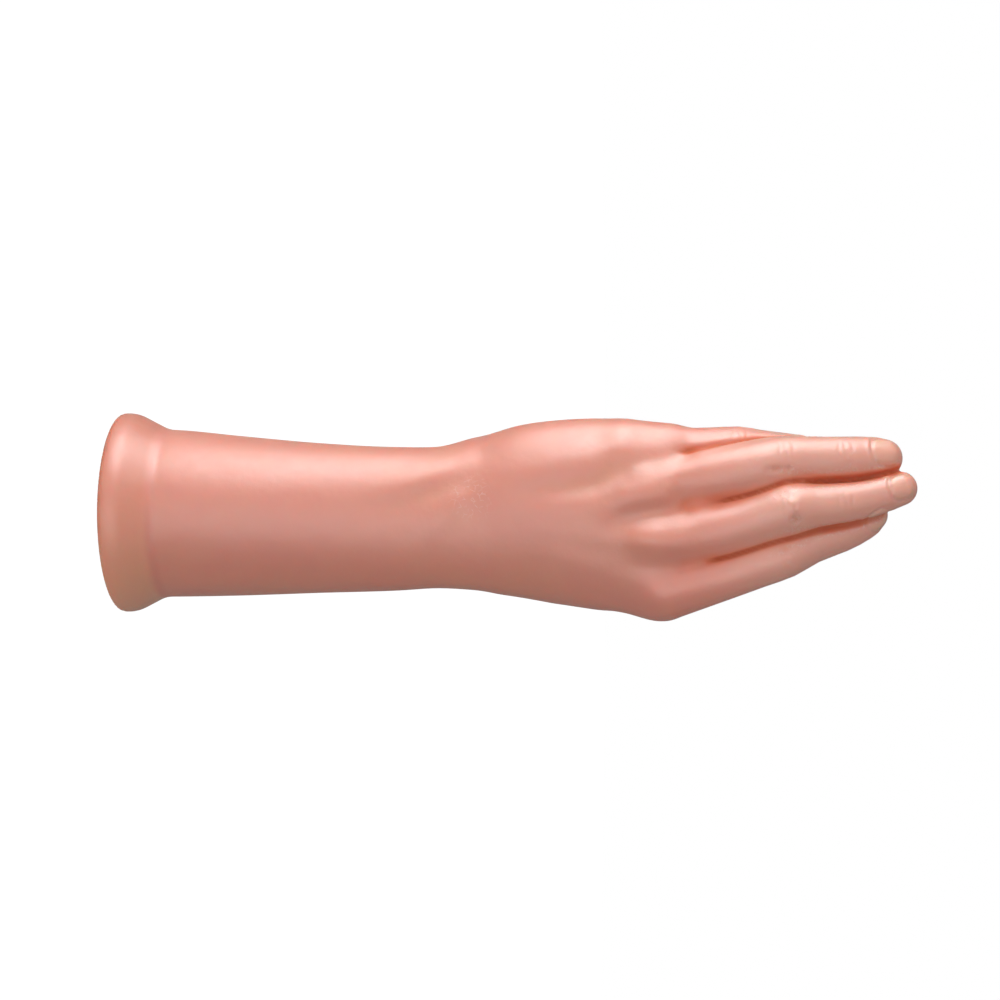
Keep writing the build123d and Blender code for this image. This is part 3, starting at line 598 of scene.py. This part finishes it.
def back_share(p, names):
    """0 at the middles of neighbouring fingers and on their palm side, 1 on their backs."""
    middle_y = 0
    for name in names:
        sections = np.array(FINGERS[name], float)
        middle_y = middle_y + smooth_curve(sections[:, 2], sections[:, 1], p[:, 2]) / len(names)
    return smoothstep(0, -BACK_FADE, p[:, 1] - middle_y)


def pressed(p):
    """How near each point is to a line where two fingers press together, from 0 to 1."""
    share = np.zeros(len(p))
    for one, other, web in WEBS:
        to_one, to_other = (chain_field(p, FINGERS[name]) for name in (one, other))
        line = np.exp(-(((to_one - to_other) / PRESS_WIDTH) ** 2))
        line *= smoothstep(*PRESS_REACH, np.maximum(to_one, to_other))
        line *= back_share(p, (one, other))
        line *= smoothstep(*PRESS_FROM_WEB, p[:, 2] - web)
        share = np.maximum(share, line)
    return share


def fine_detail(p):
    """Height of the nails, wrinkles, dimples and pressed lines, and the shares of nail
    and of pressed line at each point."""
    height = np.zeros(len(p))
    nail = np.zeros(len(p))
    line = np.zeros(len(p))
    far = p[:, 2] > DETAIL_FROM_Z
    q = p[far]
    rise = np.zeros(len(q))
    on_nail = np.zeros(len(q))
    for name, facing in NAIL_FACING.items():
        sections = FINGERS.get(name, THUMB)
        points = np.array([section[:3] for section in sections], float)
        radii = np.array([section[3] for section in sections])
        closest = np.linalg.norm(q[:, None] - points[None], axis=2) - radii[None]
        near = closest.min(axis=1) < DIGIT_REACH
        own = np.where(near)[0]
        nail_height, inside = nail_shape(q[own], sections, facing)
        rise[own] += nail_height + joint_lines(q[own], sections, facing)
        on_nail[own] = np.maximum(on_nail[own], inside)
    for x, z, half_x, half_z, depth in DIMPLES:
        pit = np.exp(-(((q[:, 0] - x) / half_x) ** 2) - ((q[:, 2] - z) / half_z) ** 2)
        rise -= depth * pit * smoothstep(0, DIMPLE_FADE, -q[:, 1])
    line[far] = pressed(q)
    height[far] = rise - PRESS_DEPTH * line[far]
    nail[far] = on_nail
    return height, nail, line


def fine_form(p):
    return coarse_form(p) - fine_detail(p)[0]


def cavity(points, normals):
    """How deep in a fold each point lies, from 0 in the open to 1."""
    closed = np.zeros(len(points))
    for reach in CAVITY_REACHES:
        closed += np.clip(1 - coarse_form(points + normals * reach) / reach, 0, 1)
    return closed / len(CAVITY_REACHES)


# ---- the skin and the cores -------------------------------------------------------------

# The skin's grid along x, y and z: start, end and spacing of each stretch. Where the wall
# leans, a cell's diagonal is about the wall's thickness, so that hardly a cell meets both of
# its faces. Along the forearm the wall stands upright, and the cells are taller.
SKIN_GRID = (
    ((-44, 47, 1.42),),
    ((-44, 44, 1.42),),
    ((-2, 24, 1.42), (24, 122, 3.0), (122, 196, 1.5), (196, 331, 1.42)),
)
CORE_ACROSS = ((-42, 45), (-42, 42))  # the cores' grid along x and along y
CORE_STEP = 2.2

# Room in the foam cores for the frame: its sizes in part.py, and a gap all round
POCKET_GAP = 0.3
ROTOR_TOP = 22.0 + POCKET_GAP
TUBE_R = 18.0 + POCKET_GAP
FORK_FLANGE_TOP = 108.0
HINGE_R = 12.5
HINGE_HALF = 22.0
CORE_LEAN = radians(18)  # of each core's face at the wrist
CORE_HALF_GAP = 0.5
HAND_POCKETS = (  # for the knuckle with the chassis's foot, its neck, and its head with the clamps
    ((-18.3, -12.3, WRIST_Z), (18.3, 12.3, 164.3)),
    ((-13.3, -6.8, 160), (13.3, 5.4, 190)),
    ((-26.3, -6.8, 188), (26.3, 5.4, 214.3)),
)


def on_outside(points):
    """Which points of the skin's wall lie nearer to its outer face."""
    return coarse_form(points) > -WALL / 2


def build_skin():
    """The skin as one mesh: a shell, open at the cuff, finer over the backs of the fingers."""
    axes = [spaced(*stretches) for stretches in SKIN_GRID]
    points, quads = surface_nets(lambda p: shell(p, coarse_form), axes)
    outer = on_outside(points)
    points = project(points, lambda p: shell(p, coarse_form, outer), 3)
    points = relax(points, quads, lambda p: shell(p, coarse_form, outer), 2)
    obj = make_object("cosmetic_skin_surface", points, quads)
    refine(obj, points[quads].mean(axis=1))
    mesh = obj.data
    points = np.empty(len(mesh.vertices) * 3)
    mesh.vertices.foreach_get("co", points)
    points = points.reshape(-1, 3) / MM
    outer = on_outside(points)
    points = project(points, lambda p: shell(p, fine_form, outer), 3)
    mesh.vertices.foreach_set("co", (points * MM).ravel())
    slope = gradient(coarse_form, points)
    normals = slope / np.linalg.norm(slope, axis=1, keepdims=True)
    add_attribute(mesh, "cavity", cavity(points, normals))
    height, nail, line = fine_detail(points)
    add_attribute(mesh, "nail", nail)
    add_attribute(mesh, "pressed", line)
    add_attribute(mesh, "height_mm", points[:, 2])
    add_attribute(mesh, "relief_mm", relief(points, BACK_RELIEF, -1) + height + PRESS_DEPTH * line)
    mesh.update()
    return obj


def refine(obj, centres):
    """Splits the quads on the backs of the fingers, given the middle of every quad."""
    outer = np.abs(coarse_form(centres)) < WALL / 2
    slope = gradient(coarse_form, centres)
    back = slope[:, 1] < BACK_SLOPE * np.linalg.norm(slope, axis=1)
    wanted = outer & back & (centres[:, 2] > FINE_FROM_Z)
    bm = bmesh.new()
    bm.from_mesh(obj.data)
    bm.faces.ensure_lookup_table()
    edges = {edge for index in np.where(wanted)[0] for edge in bm.faces[index].edges}
    bmesh.ops.subdivide_edges(bm, edges=list(edges), cuts=1, use_grid_fill=True)
    bm.to_mesh(obj.data)
    bm.free()


def add_attribute(mesh, name, values):
    layer = mesh.attributes.new(name, "FLOAT", "POINT")
    layer.data.foreach_set("value", np.asarray(values, np.float32))


def box_field(p, low, high):
    """A plain box from its lowest to its highest corner."""
    outside = np.maximum(np.array(low) - p, p - np.array(high))
    return outside.max(axis=1)


def wrist_plane(p, side):
    """Beyond one face of the V-shaped relief at the wrist: +1 hand, -1 forearm."""
    face = CORE_HALF_GAP + np.abs(p[:, 1]) * tan(CORE_LEAN)
    return (face - side * (p[:, 2] - WRIST_Z)) * cos(CORE_LEAN)


def hinge_pocket(p):
    """Room for the wrist's fork and axle, about the hinge axis."""
    across = np.hypot(p[:, 1], p[:, 2] - WRIST_Z) - HINGE_R
    return np.maximum(across, np.abs(p[:, 0]) - HINGE_HALF)


def forearm_core_field(p):
    field = coarse_form(p) + WALL + CORE_GAP
    field = np.maximum(field, ROTOR_TOP - p[:, 2])
    field = np.maximum(field, wrist_plane(p, -1))
    tube = np.maximum(np.hypot(p[:, 0], p[:, 1]) - TUBE_R, p[:, 2] - FORK_FLANGE_TOP - POCKET_GAP)
    field = np.maximum(field, -tube)
    fork = box_field(p, (-HINGE_HALF, -HINGE_R, FORK_FLANGE_TOP), (HINGE_HALF, HINGE_R, WRIST_Z))
    field = np.maximum(field, -fork)
    return np.maximum(field, -hinge_pocket(p))


def hand_core_field(p):
    field = coarse_form(p) + WALL + CORE_GAP
    field = np.maximum(field, wrist_plane(p, 1))
    field = np.maximum(field, -hinge_pocket(p))
    for low, high in HAND_POCKETS:
        field = np.maximum(field, -box_field(p, low, high))
    return field


def build_core(name, field, low_z, high_z):
    """A foam core as one closed mesh."""
    axes = [spaced((low, high, CORE_STEP)) for low, high in (*CORE_ACROSS, (low_z, high_z))]
    points, quads = surface_nets(field, axes)
    return make_object(name, project(points, field, 2), quads)


# ---- materials ----------------------------------------------------------------------------


class Nodes:
    """A material's node tree, with short calls for the nodes used here."""

    def __init__(self, name):
        self.material = bpy.data.materials.new(name)
        self.material.use_nodes = True
        self.tree = self.material.node_tree
        self.shader = self.tree.nodes["Principled BSDF"]
        self.position = self.add("ShaderNodeTexCoord").outputs["Object"]

    def add(self, kind, **settings):
        node = self.tree.nodes.new(kind)
        for key, value in settings.items():
            setattr(node, key, value)
        return node

    def link(self, value, socket):
        """Gives a socket a constant or another node's output."""
        if isinstance(value, bpy.types.NodeSocket):
            self.tree.links.new(value, socket)
        else:
            socket.default_value = value

    def noise(self, size_mm, detail=3.0, stretch=(1, 1, 1)):
        """Noise with features of about size_mm, as a value from 0 to 1."""
        scale = self.add("ShaderNodeMapping")
        self.link(self.position, scale.inputs["Vector"])
        scale.inputs["Scale"].default_value = stretch
        node = self.add("ShaderNodeTexNoise")
        self.link(scale.outputs["Vector"], node.inputs["Vector"])
        node.inputs["Scale"].default_value = 1 / (size_mm * MM)
        node.inputs["Detail"].default_value = detail
        return node.outputs["Fac"]

    def attribute(self, name):
        return self.add("ShaderNodeAttribute", attribute_name=name).outputs["Fac"]

    def spread(self, value, low, high, out_low=0.0, out_high=1.0):
        """A value moved smoothly from one range to another."""
        node = self.add("ShaderNodeMapRange", interpolation_type="SMOOTHSTEP")
        for item, socket in zip((value, low, high, out_low, out_high), node.inputs):
            self.link(item, socket)
        return node.outputs["Result"]

    def math(self, operation, a, b=0.0):
        node = self.add("ShaderNodeMath", operation=operation)
        self.link(a, node.inputs[0])
        self.link(b, node.inputs[1])
        return node.outputs["Value"]

    def mix(self, share, a, b):
        """Colour a with a share of colour b."""
        node = self.add("ShaderNodeMix", data_type="RGBA")
        self.link(share, node.inputs["Factor"])
        self.link(a, node.inputs["A"])
        self.link(b, node.inputs["B"])
        return node.outputs["Result"]

    def bump(self, height, depth_mm, strength=1.0):
        node = self.add("ShaderNodeBump")
        node.inputs["Strength"].default_value = strength
        node.inputs["Distance"].default_value = depth_mm * MM
        self.link(height, node.inputs["Height"])
        self.link(node.outputs["Normal"], self.shader.inputs["Normal"])


def rgb(*channels):
    """A colour given in display values from 0 to 255."""
    display = [channel / 255 for channel in channels]
    linear = [c / 12.92 if c <= 0.04045 else ((c + 0.055) / 1.055) ** 2.4 for c in display]
    return (*linear, 1.0)


SKIN_PINK = rgb(236, 138, 112)
SKIN_ROSE = rgb(230, 129, 107)
SKIN_SALLOW = rgb(234, 144, 105)
# painted shade deep in the folds
SKIN_FOLD_SHADE = rgb(206, 88, 44)
SKIN_CUFF = rgb(222, 126, 95)
SKIN_CUFF_PAINTED_LIGHT = rgb(255, 161, 121)  # painted light toward the thumb side
# painted shade along the crease between the foot and the forearm
SKIN_CREASE_SHADE = rgb(226, 122, 98)
SKIN_NAIL = rgb(246, 168, 132)
SKIN_FINGER = rgb(247, 178, 158)
# painted shade in the lines where two fingers press together
SKIN_PRESSED_SHADE = rgb(198, 84, 40)
# painted shade in the hollows of the relief
SKIN_HOLLOW_SHADE = rgb(232, 138, 100)
# pale scratches of the scuff over the wrist, and painted glints beside the fingers' folds
SKIN_SCUFF_AND_GLINT = rgb(250, 205, 190)
SCUFF_AT = (-0.0057, -0.0215, 0.149)  # in metres, over the wrist
SCUFF_R = 0.012
SCUFF_CELL_MM = 2.6
CREASE_Z = 20.8  # of the crease between the foot and the forearm, mm
CUFF_ACROSS = (-0.03, 0.04)  # x, in metres, between which the foot's colour changes to painted light
FINGER_COLOUR_Z = (235, 275)  # the fingers turn paler between these heights, mm
SHINY_Z = (262, 280)  # and the strips beside their folds turn glossy and get painted glints
SUBSURFACE_RADIUS = (1.0, 0.32, 0.16)  # red light travels farthest in the elastomer
SUBSURFACE_SCALE = 0.005
PORE_MM = 0.9


def scuff(n):
    """Fine pale scratches in one patch over the wrist."""
    apart = n.add("ShaderNodeVectorMath", operation="DISTANCE")
    n.link(n.position, apart.inputs[0])
    apart.inputs[1].default_value = SCUFF_AT
    patch = n.spread(apart.outputs["Value"], SCUFF_R, 0.3 * SCUFF_R)
    lines = n.add("ShaderNodeTexVoronoi", feature="DISTANCE_TO_EDGE")
    n.link(n.position, lines.inputs["Vector"])
    lines.inputs["Scale"].default_value = 1 / (SCUFF_CELL_MM * MM)
    scratch = n.spread(lines.outputs["Distance"], 0.05, 0.0)
    broken = n.spread(n.noise(2.0, 3), 0.45, 0.6)
    return n.math("MULTIPLY", n.math("MULTIPLY", patch, scratch), broken)


def skin_colour(n, height, closed):
    """Flesh colour that drifts over the arm, with paler fingers, painted shade in the folds,
    hollows, crease and pressed lines, and painted light on the foot's thumb side.
    """
    broad = n.spread(n.noise(60, 2), 0.35, 0.65, 0.0, 0.35)
    patches = n.spread(n.noise(20, 2), 0.4, 0.65, 0.0, 0.3)
    colour = n.mix(broad, SKIN_PINK, SKIN_SALLOW)
    colour = n.mix(patches, colour, SKIN_ROSE)
    across = n.add("ShaderNodeSeparateXYZ")
    n.link(n.position, across.inputs["Vector"])
    # painted light: the foot turns paler toward the thumb side
    cuff = n.mix(n.spread(across.outputs["X"], *CUFF_ACROSS), SKIN_CUFF, SKIN_CUFF_PAINTED_LIGHT)
    colour = n.mix(n.spread(height, CREASE_Z, CREASE_Z - 4, 0.0, 0.9), colour, cuff)
    from_crease = n.math("ABSOLUTE", n.math("SUBTRACT", height, CREASE_Z))
    # painted shade in a narrow band along the crease
    colour = n.mix(n.spread(from_crease, 3.0, 0.3, 0.0, 0.4), colour, SKIN_CREASE_SHADE)
    colour = n.mix(n.math("MULTIPLY", n.attribute("nail"), 0.6), colour, SKIN_NAIL)
    # painted shade: the deeper a hollow of the relief, the more of the hollow colour
    colour = n.mix(n.spread(n.attribute("relief_mm"), -0.1, -1.3, 0.0, 0.75), colour, SKIN_HOLLOW_SHADE)
    colour = n.mix(n.spread(height, *FINGER_COLOUR_Z, 0.0, 0.5), colour, SKIN_FINGER)
    # painted shade: the deeper in a fold, the more of the fold colour
    colour = n.mix(n.spread(closed, 0.2, 0.8, 0.0, 0.6), colour, SKIN_FOLD_SHADE)
    # painted shade along the pressed lines
    colour = n.mix(n.spread(n.attribute("pressed"), 0.2, 1.0, 0.0, 0.6), colour, SKIN_PRESSED_SHADE)
    return n.mix(n.math("MULTIPLY", scuff(n), 0.6), colour, SKIN_SCUFF_AND_GLINT)


def skin_material():
    """Soft elastomer that light passes into, with fine pores, a low, greasy gloss and painted
    glints beside the folds.
    """
    n = Nodes("flesh_elastomer")
    height = n.attribute("height_mm")
    closed = n.attribute("cavity")
    beside_fold = n.math("MULTIPLY", n.spread(closed, 0.03, 0.10), n.spread(closed, 0.34, 0.16))
    shiny = n.math("MULTIPLY", beside_fold, n.spread(height, *SHINY_Z))
    # flecks beside the folds near the fingertips, painted as glints and set into the bump
    glint_flecks = n.math("MULTIPLY", n.spread(n.noise(1.1, 2), 0.52, 0.62), shiny)
    colour = skin_colour(n, height, closed)
    # painted glints in a pale colour
    colour = n.mix(n.math("MULTIPLY", glint_flecks, 0.35), colour, SKIN_SCUFF_AND_GLINT)
    n.link(colour, n.shader.inputs["Base Color"])
    gloss = n.spread(n.noise(6, 4), 0.3, 0.7, 0.40, 0.54)
    n.link(n.math("SUBTRACT", gloss, n.math("MULTIPLY", shiny, 0.12)), n.shader.inputs["Roughness"])
    n.shader.inputs["Subsurface Weight"].default_value = 1.0
    n.shader.inputs["Subsurface Radius"].default_value = SUBSURFACE_RADIUS
    n.shader.inputs["Subsurface Scale"].default_value = SUBSURFACE_SCALE
    n.shader.inputs["IOR"].default_value = 1.45
    # Folds hold no gloss
    n.link(n.spread(closed, 0.1, 0.4, 0.9, 0.1), n.shader.inputs["Specular IOR Level"])
    n.link(n.spread(closed, 0.1, 0.4, 1.0, 0.0), n.shader.inputs["Coat Weight"])
    n.shader.inputs["Coat Roughness"].default_value = 0.48
    n.shader.inputs["Coat IOR"].default_value = 2.0
    pores = n.math("MULTIPLY", n.noise(PORE_MM, 2), 0.12)
    ripple = n.noise(9, 2)
    relief_height = n.math("ADD", n.math("ADD", pores, ripple), n.math("MULTIPLY", glint_flecks, 0.4))
    n.bump(relief_height, 0.35)
    return n.material


def metal_material(name, base, roughness, stretch):
    """Turned or drawn metal: fine lines along one way and a little uneven tarnish."""
    n = Nodes(name)
    darker = tuple(0.72 * c for c in base[:3]) + (1.0,)
    tarnish = n.spread(n.noise(12, 3), 0.4, 0.75, 0.0, 0.5)
    n.link(n.mix(tarnish, base, darker), n.shader.inputs["Base Color"])
    lines = n.noise(0.8, 2, stretch)
    worn = n.spread(lines, 0.3, 0.7, roughness - 0.07, roughness + 0.09)
    n.link(worn, n.shader.inputs["Roughness"])
    n.shader.inputs["Metallic"].default_value = 1.0
    n.bump(lines, 0.02, 0.6)
    return n.material


def plastic_material(name, base, roughness):
    """Moulded or machined plastic with a fine even grain."""
    n = Nodes(name)
    paler = tuple(min(1.0, 1.15 * c + 0.01) for c in base[:3]) + (1.0,)
    uneven = n.spread(n.noise(7, 3), 0.4, 0.7, 0.0, 0.6)
    n.link(n.mix(uneven, base, paler), n.shader.inputs["Base Color"])
    grain = n.noise(0.35, 2)
    matt = n.spread(grain, 0.3, 0.7, roughness - 0.08, roughness + 0.08)
    n.link(matt, n.shader.inputs["Roughness"])
    n.bump(grain, 0.03, 0.7)
    return n.material


def foam_material():
    """Moulded polyurethane foam: an open grain of small cells, with painted shade in their pits."""
    n = Nodes("moulded_foam")
    cells = n.add("ShaderNodeTexVoronoi")
    n.link(n.position, cells.inputs["Vector"])
    cells.inputs["Scale"].default_value = 1 / (1.1 * MM)
    depth = n.spread(cells.outputs["Distance"], 0.1, 0.6)
    # painted shade: the cells' pits darker than their rims
    colour = n.mix(depth, rgb(214, 196, 150), rgb(240, 230, 200))
    stain = n.spread(n.noise(20, 3), 0.4, 0.7, 0, 0.35)
    n.link(n.mix(stain, colour, rgb(226, 204, 160)), n.shader.inputs["Base Color"])
    n.shader.inputs["Roughness"].default_value = 0.9
    n.bump(depth, 0.3, 0.8)
    return n.material


ROUND = (1, 1, 6)  # lines run round the Z axis on turned pieces
ALONG = (6, 6, 0.2)  # lines run along the arm on drawn pieces
FINISHES = {
    "turned_aluminium": metal_material("turned_aluminium", rgb(205, 207, 210), 0.33, ROUND),
    "drawn_aluminium": metal_material("drawn_aluminium", rgb(212, 214, 216), 0.30, ALONG),
    "black_steel": metal_material("black_steel", rgb(70, 70, 74), 0.38, ROUND),
    "bright_steel": metal_material("bright_steel", rgb(176, 176, 180), 0.27, ALONG),
    "bronze": metal_material("bronze", rgb(190, 146, 84), 0.36, ROUND),
    "acetal": plastic_material("acetal", rgb(226, 224, 212), 0.42),
    "black_nylon": plastic_material("black_nylon", rgb(38, 38, 41), 0.55),
    "ivory_plastic": plastic_material("ivory_plastic", rgb(214, 200, 180), 0.5),
    "brown_fibre": plastic_material("brown_fibre", rgb(120, 66, 38), 0.7),
}
NODE_FINISH = {
    "coupling_plate": "turned_aluminium",
    "retaining_ring": "black_steel",
    "thrust_washer": "acetal",
    "rotor_housing": "turned_aluminium",
    "rotor_bush": "bronze",
    "friction_pad": "acetal",
    "friction_screw": "black_steel",
    "forearm_tube": "drawn_aluminium",
    "tube_screws": "black_steel",
    "wrist_fork": "turned_aluminium",
    "wrist_axle": "bright_steel",
    "spring_washer": "bright_steel",
    "axle_nut": "bright_steel",
    "friction_washers": "brown_fibre",
    "wrist_knuckle": "turned_aluminium",
    "axle_bushes": "bronze",
    "hand_chassis": "black_nylon",
    "chassis_screws": "black_steel",
    "wire_clamp": "turned_aluminium",
    "thumb_clamp": "turned_aluminium",
    "clamp_screws": "bright_steel",
    "cuff_ring": "ivory_plastic",
    "cuff_screws": "black_steel",
}
for digit in ("index", "middle", "ring", "little", "thumb"):
    NODE_FINISH[digit + "_wire"] = "bright_steel"
    NODE_FINISH[digit + "_wire_cap"] = "acetal"


def paint(obj, material):
    obj.data.materials.clear()
    obj.data.materials.append(material)


def dress_cad_nodes():
    for name, finish in NODE_FINISH.items():
        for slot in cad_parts[name].material_slots:
            slot.material = FINISHES[finish]


# ---- the stage ----------------------------------------------------------------------------

LOOK_AT = Vector((-5.2, 0.0, 159.0)) * MM
DISTANCE = 0.90
ELEVATION = radians(5.6)
LENS = 78.8
SENSOR = 36.0


def build_camera():
    """The camera faces the back of the hand, rolled so that the fingers point right."""
    data = bpy.data.cameras.new("camera")
    data.lens = LENS
    data.sensor_width = SENSOR
    camera = bpy.data.objects.new("camera", data)
    bpy.context.scene.collection.objects.link(camera)
    back = Vector((0, -cos(ELEVATION), sin(ELEVATION)))
    right = Vector((0, sin(ELEVATION), cos(ELEVATION)))
    up = back.cross(right)
    camera.matrix_world = Matrix.Translation(LOOK_AT + DISTANCE * back) @ Matrix(
        (right, up, back)
    ).transposed().to_4x4()
    bpy.context.scene.camera = camera


def add_area(name, place, size, power, colour):
    """A soft rectangular light that faces the middle of the hand."""
    data = bpy.data.lights.new(name, "AREA")
    data.shape = "RECTANGLE"
    data.size, data.size_y = size
    data.energy = power
    data.color = colour
    light = bpy.data.objects.new(name, data)
    light.location = place
    aim = LOOK_AT - Vector(place)
    light.rotation_euler = aim.to_track_quat("-Z", "Y").to_euler()
    bpy.context.scene.collection.objects.link(light)


AMBIENT_ACROSS = (0.62, 0.41)  # from the little-finger side, and from the thumb side
AMBIENT_BEHIND = (1.0, 0.42)  # shares of it from in front of the back of the hand, and behind
BACKDROP_R = 6.0
FLOOR_R = 4.0
FLOOR_DROP = 0.0002  # below the part, so that the two faces don't meet


def dress_stage(obj, name, material_name, base):
    """A stage piece that glows evenly white and casts no light or shadow on the hand."""
    material = bpy.data.materials.new(material_name)
    material.use_nodes = True
    shader = material.node_tree.nodes["Principled BSDF"]
    shader.inputs["Base Color"].default_value = (base, base, base, 1)
    shader.inputs["Roughness"].default_value = 1.0
    shader.inputs["Specular IOR Level"].default_value = 0
    shader.inputs["Emission Color"].default_value = (1, 1, 1, 1)
    shader.inputs["Emission Strength"].default_value = 1.0
    obj.name = name
    obj.data.materials.append(material)
    obj.visible_diffuse = False
    obj.visible_glossy = False
    obj.visible_transmission = False
    obj.visible_shadow = False


def build_world():
    """White light from all round, weaker from the thumb side and from behind."""
    world = bpy.data.worlds.new("studio")
    world.use_nodes = True
    nodes, links = world.node_tree.nodes, world.node_tree.links
    coordinates = nodes.new("ShaderNodeTexCoord")
    split = nodes.new("ShaderNodeSeparateXYZ")
    links.new(coordinates.outputs["Generated"], split.inputs["Vector"])
    strength = nodes.new("ShaderNodeMath")
    strength.operation = "MULTIPLY"
    for number, (axis, ends) in enumerate((("X", AMBIENT_ACROSS), ("Y", AMBIENT_BEHIND))):
        ramp = nodes.new("ShaderNodeMapRange")
        links.new(split.outputs[axis], ramp.inputs["Value"])
        for value, socket in zip((-1.0, 1.0, *ends), list(ramp.inputs)[1:]):
            socket.default_value = value
        links.new(ramp.outputs["Result"], strength.inputs[number])
    links.new(strength.outputs["Value"], nodes["Background"].inputs["Strength"])
    nodes["Background"].inputs["Color"].default_value = (1, 1, 1, 1)
    bpy.context.scene.world = world
    bpy.context.scene.view_settings.view_transform = "Standard"


def build_stage():
    bpy.ops.mesh.primitive_uv_sphere_add(segments=48, ring_count=24, radius=BACKDROP_R)
    dress_stage(bpy.context.object, "backdrop", "white_backdrop", 0.0)
    bpy.ops.mesh.primitive_circle_add(vertices=96, radius=FLOOR_R, fill_type="NGON")
    bpy.context.object.location.z = -FLOOR_DROP
    dress_stage(bpy.context.object, "floor", "pale_floor", 0.12)
    add_area("key", (-1.15, -0.28, 0.28), (1.1, 0.7), 11.0, (1.0, 1.0, 1.0))
    add_area("front", (0.15, -1.3, 0.1), (0.9, 0.9), 2.8, (1.0, 1.0, 1.0))


build_camera()
build_world()
build_stage()
dress_cad_nodes()

skin = build_skin()
paint(skin, skin_material())
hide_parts("cosmetic_skin")
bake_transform(skin)

foam = foam_material()
# Each core's piece, node, body and field, and the heights that its grid spans
for piece_name, node, body, core_field, low_z, high_z in (
    ("forearm_foam_core", "forearm_foam", "forearm", forearm_core_field, 20, 134),
    ("hand_foam_core", "hand_foam", "hand", hand_core_field, 126, 328),
):
    core = build_core(piece_name, core_field, low_z, high_z)
    paint(core, foam)
    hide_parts(node)
    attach(core, body)
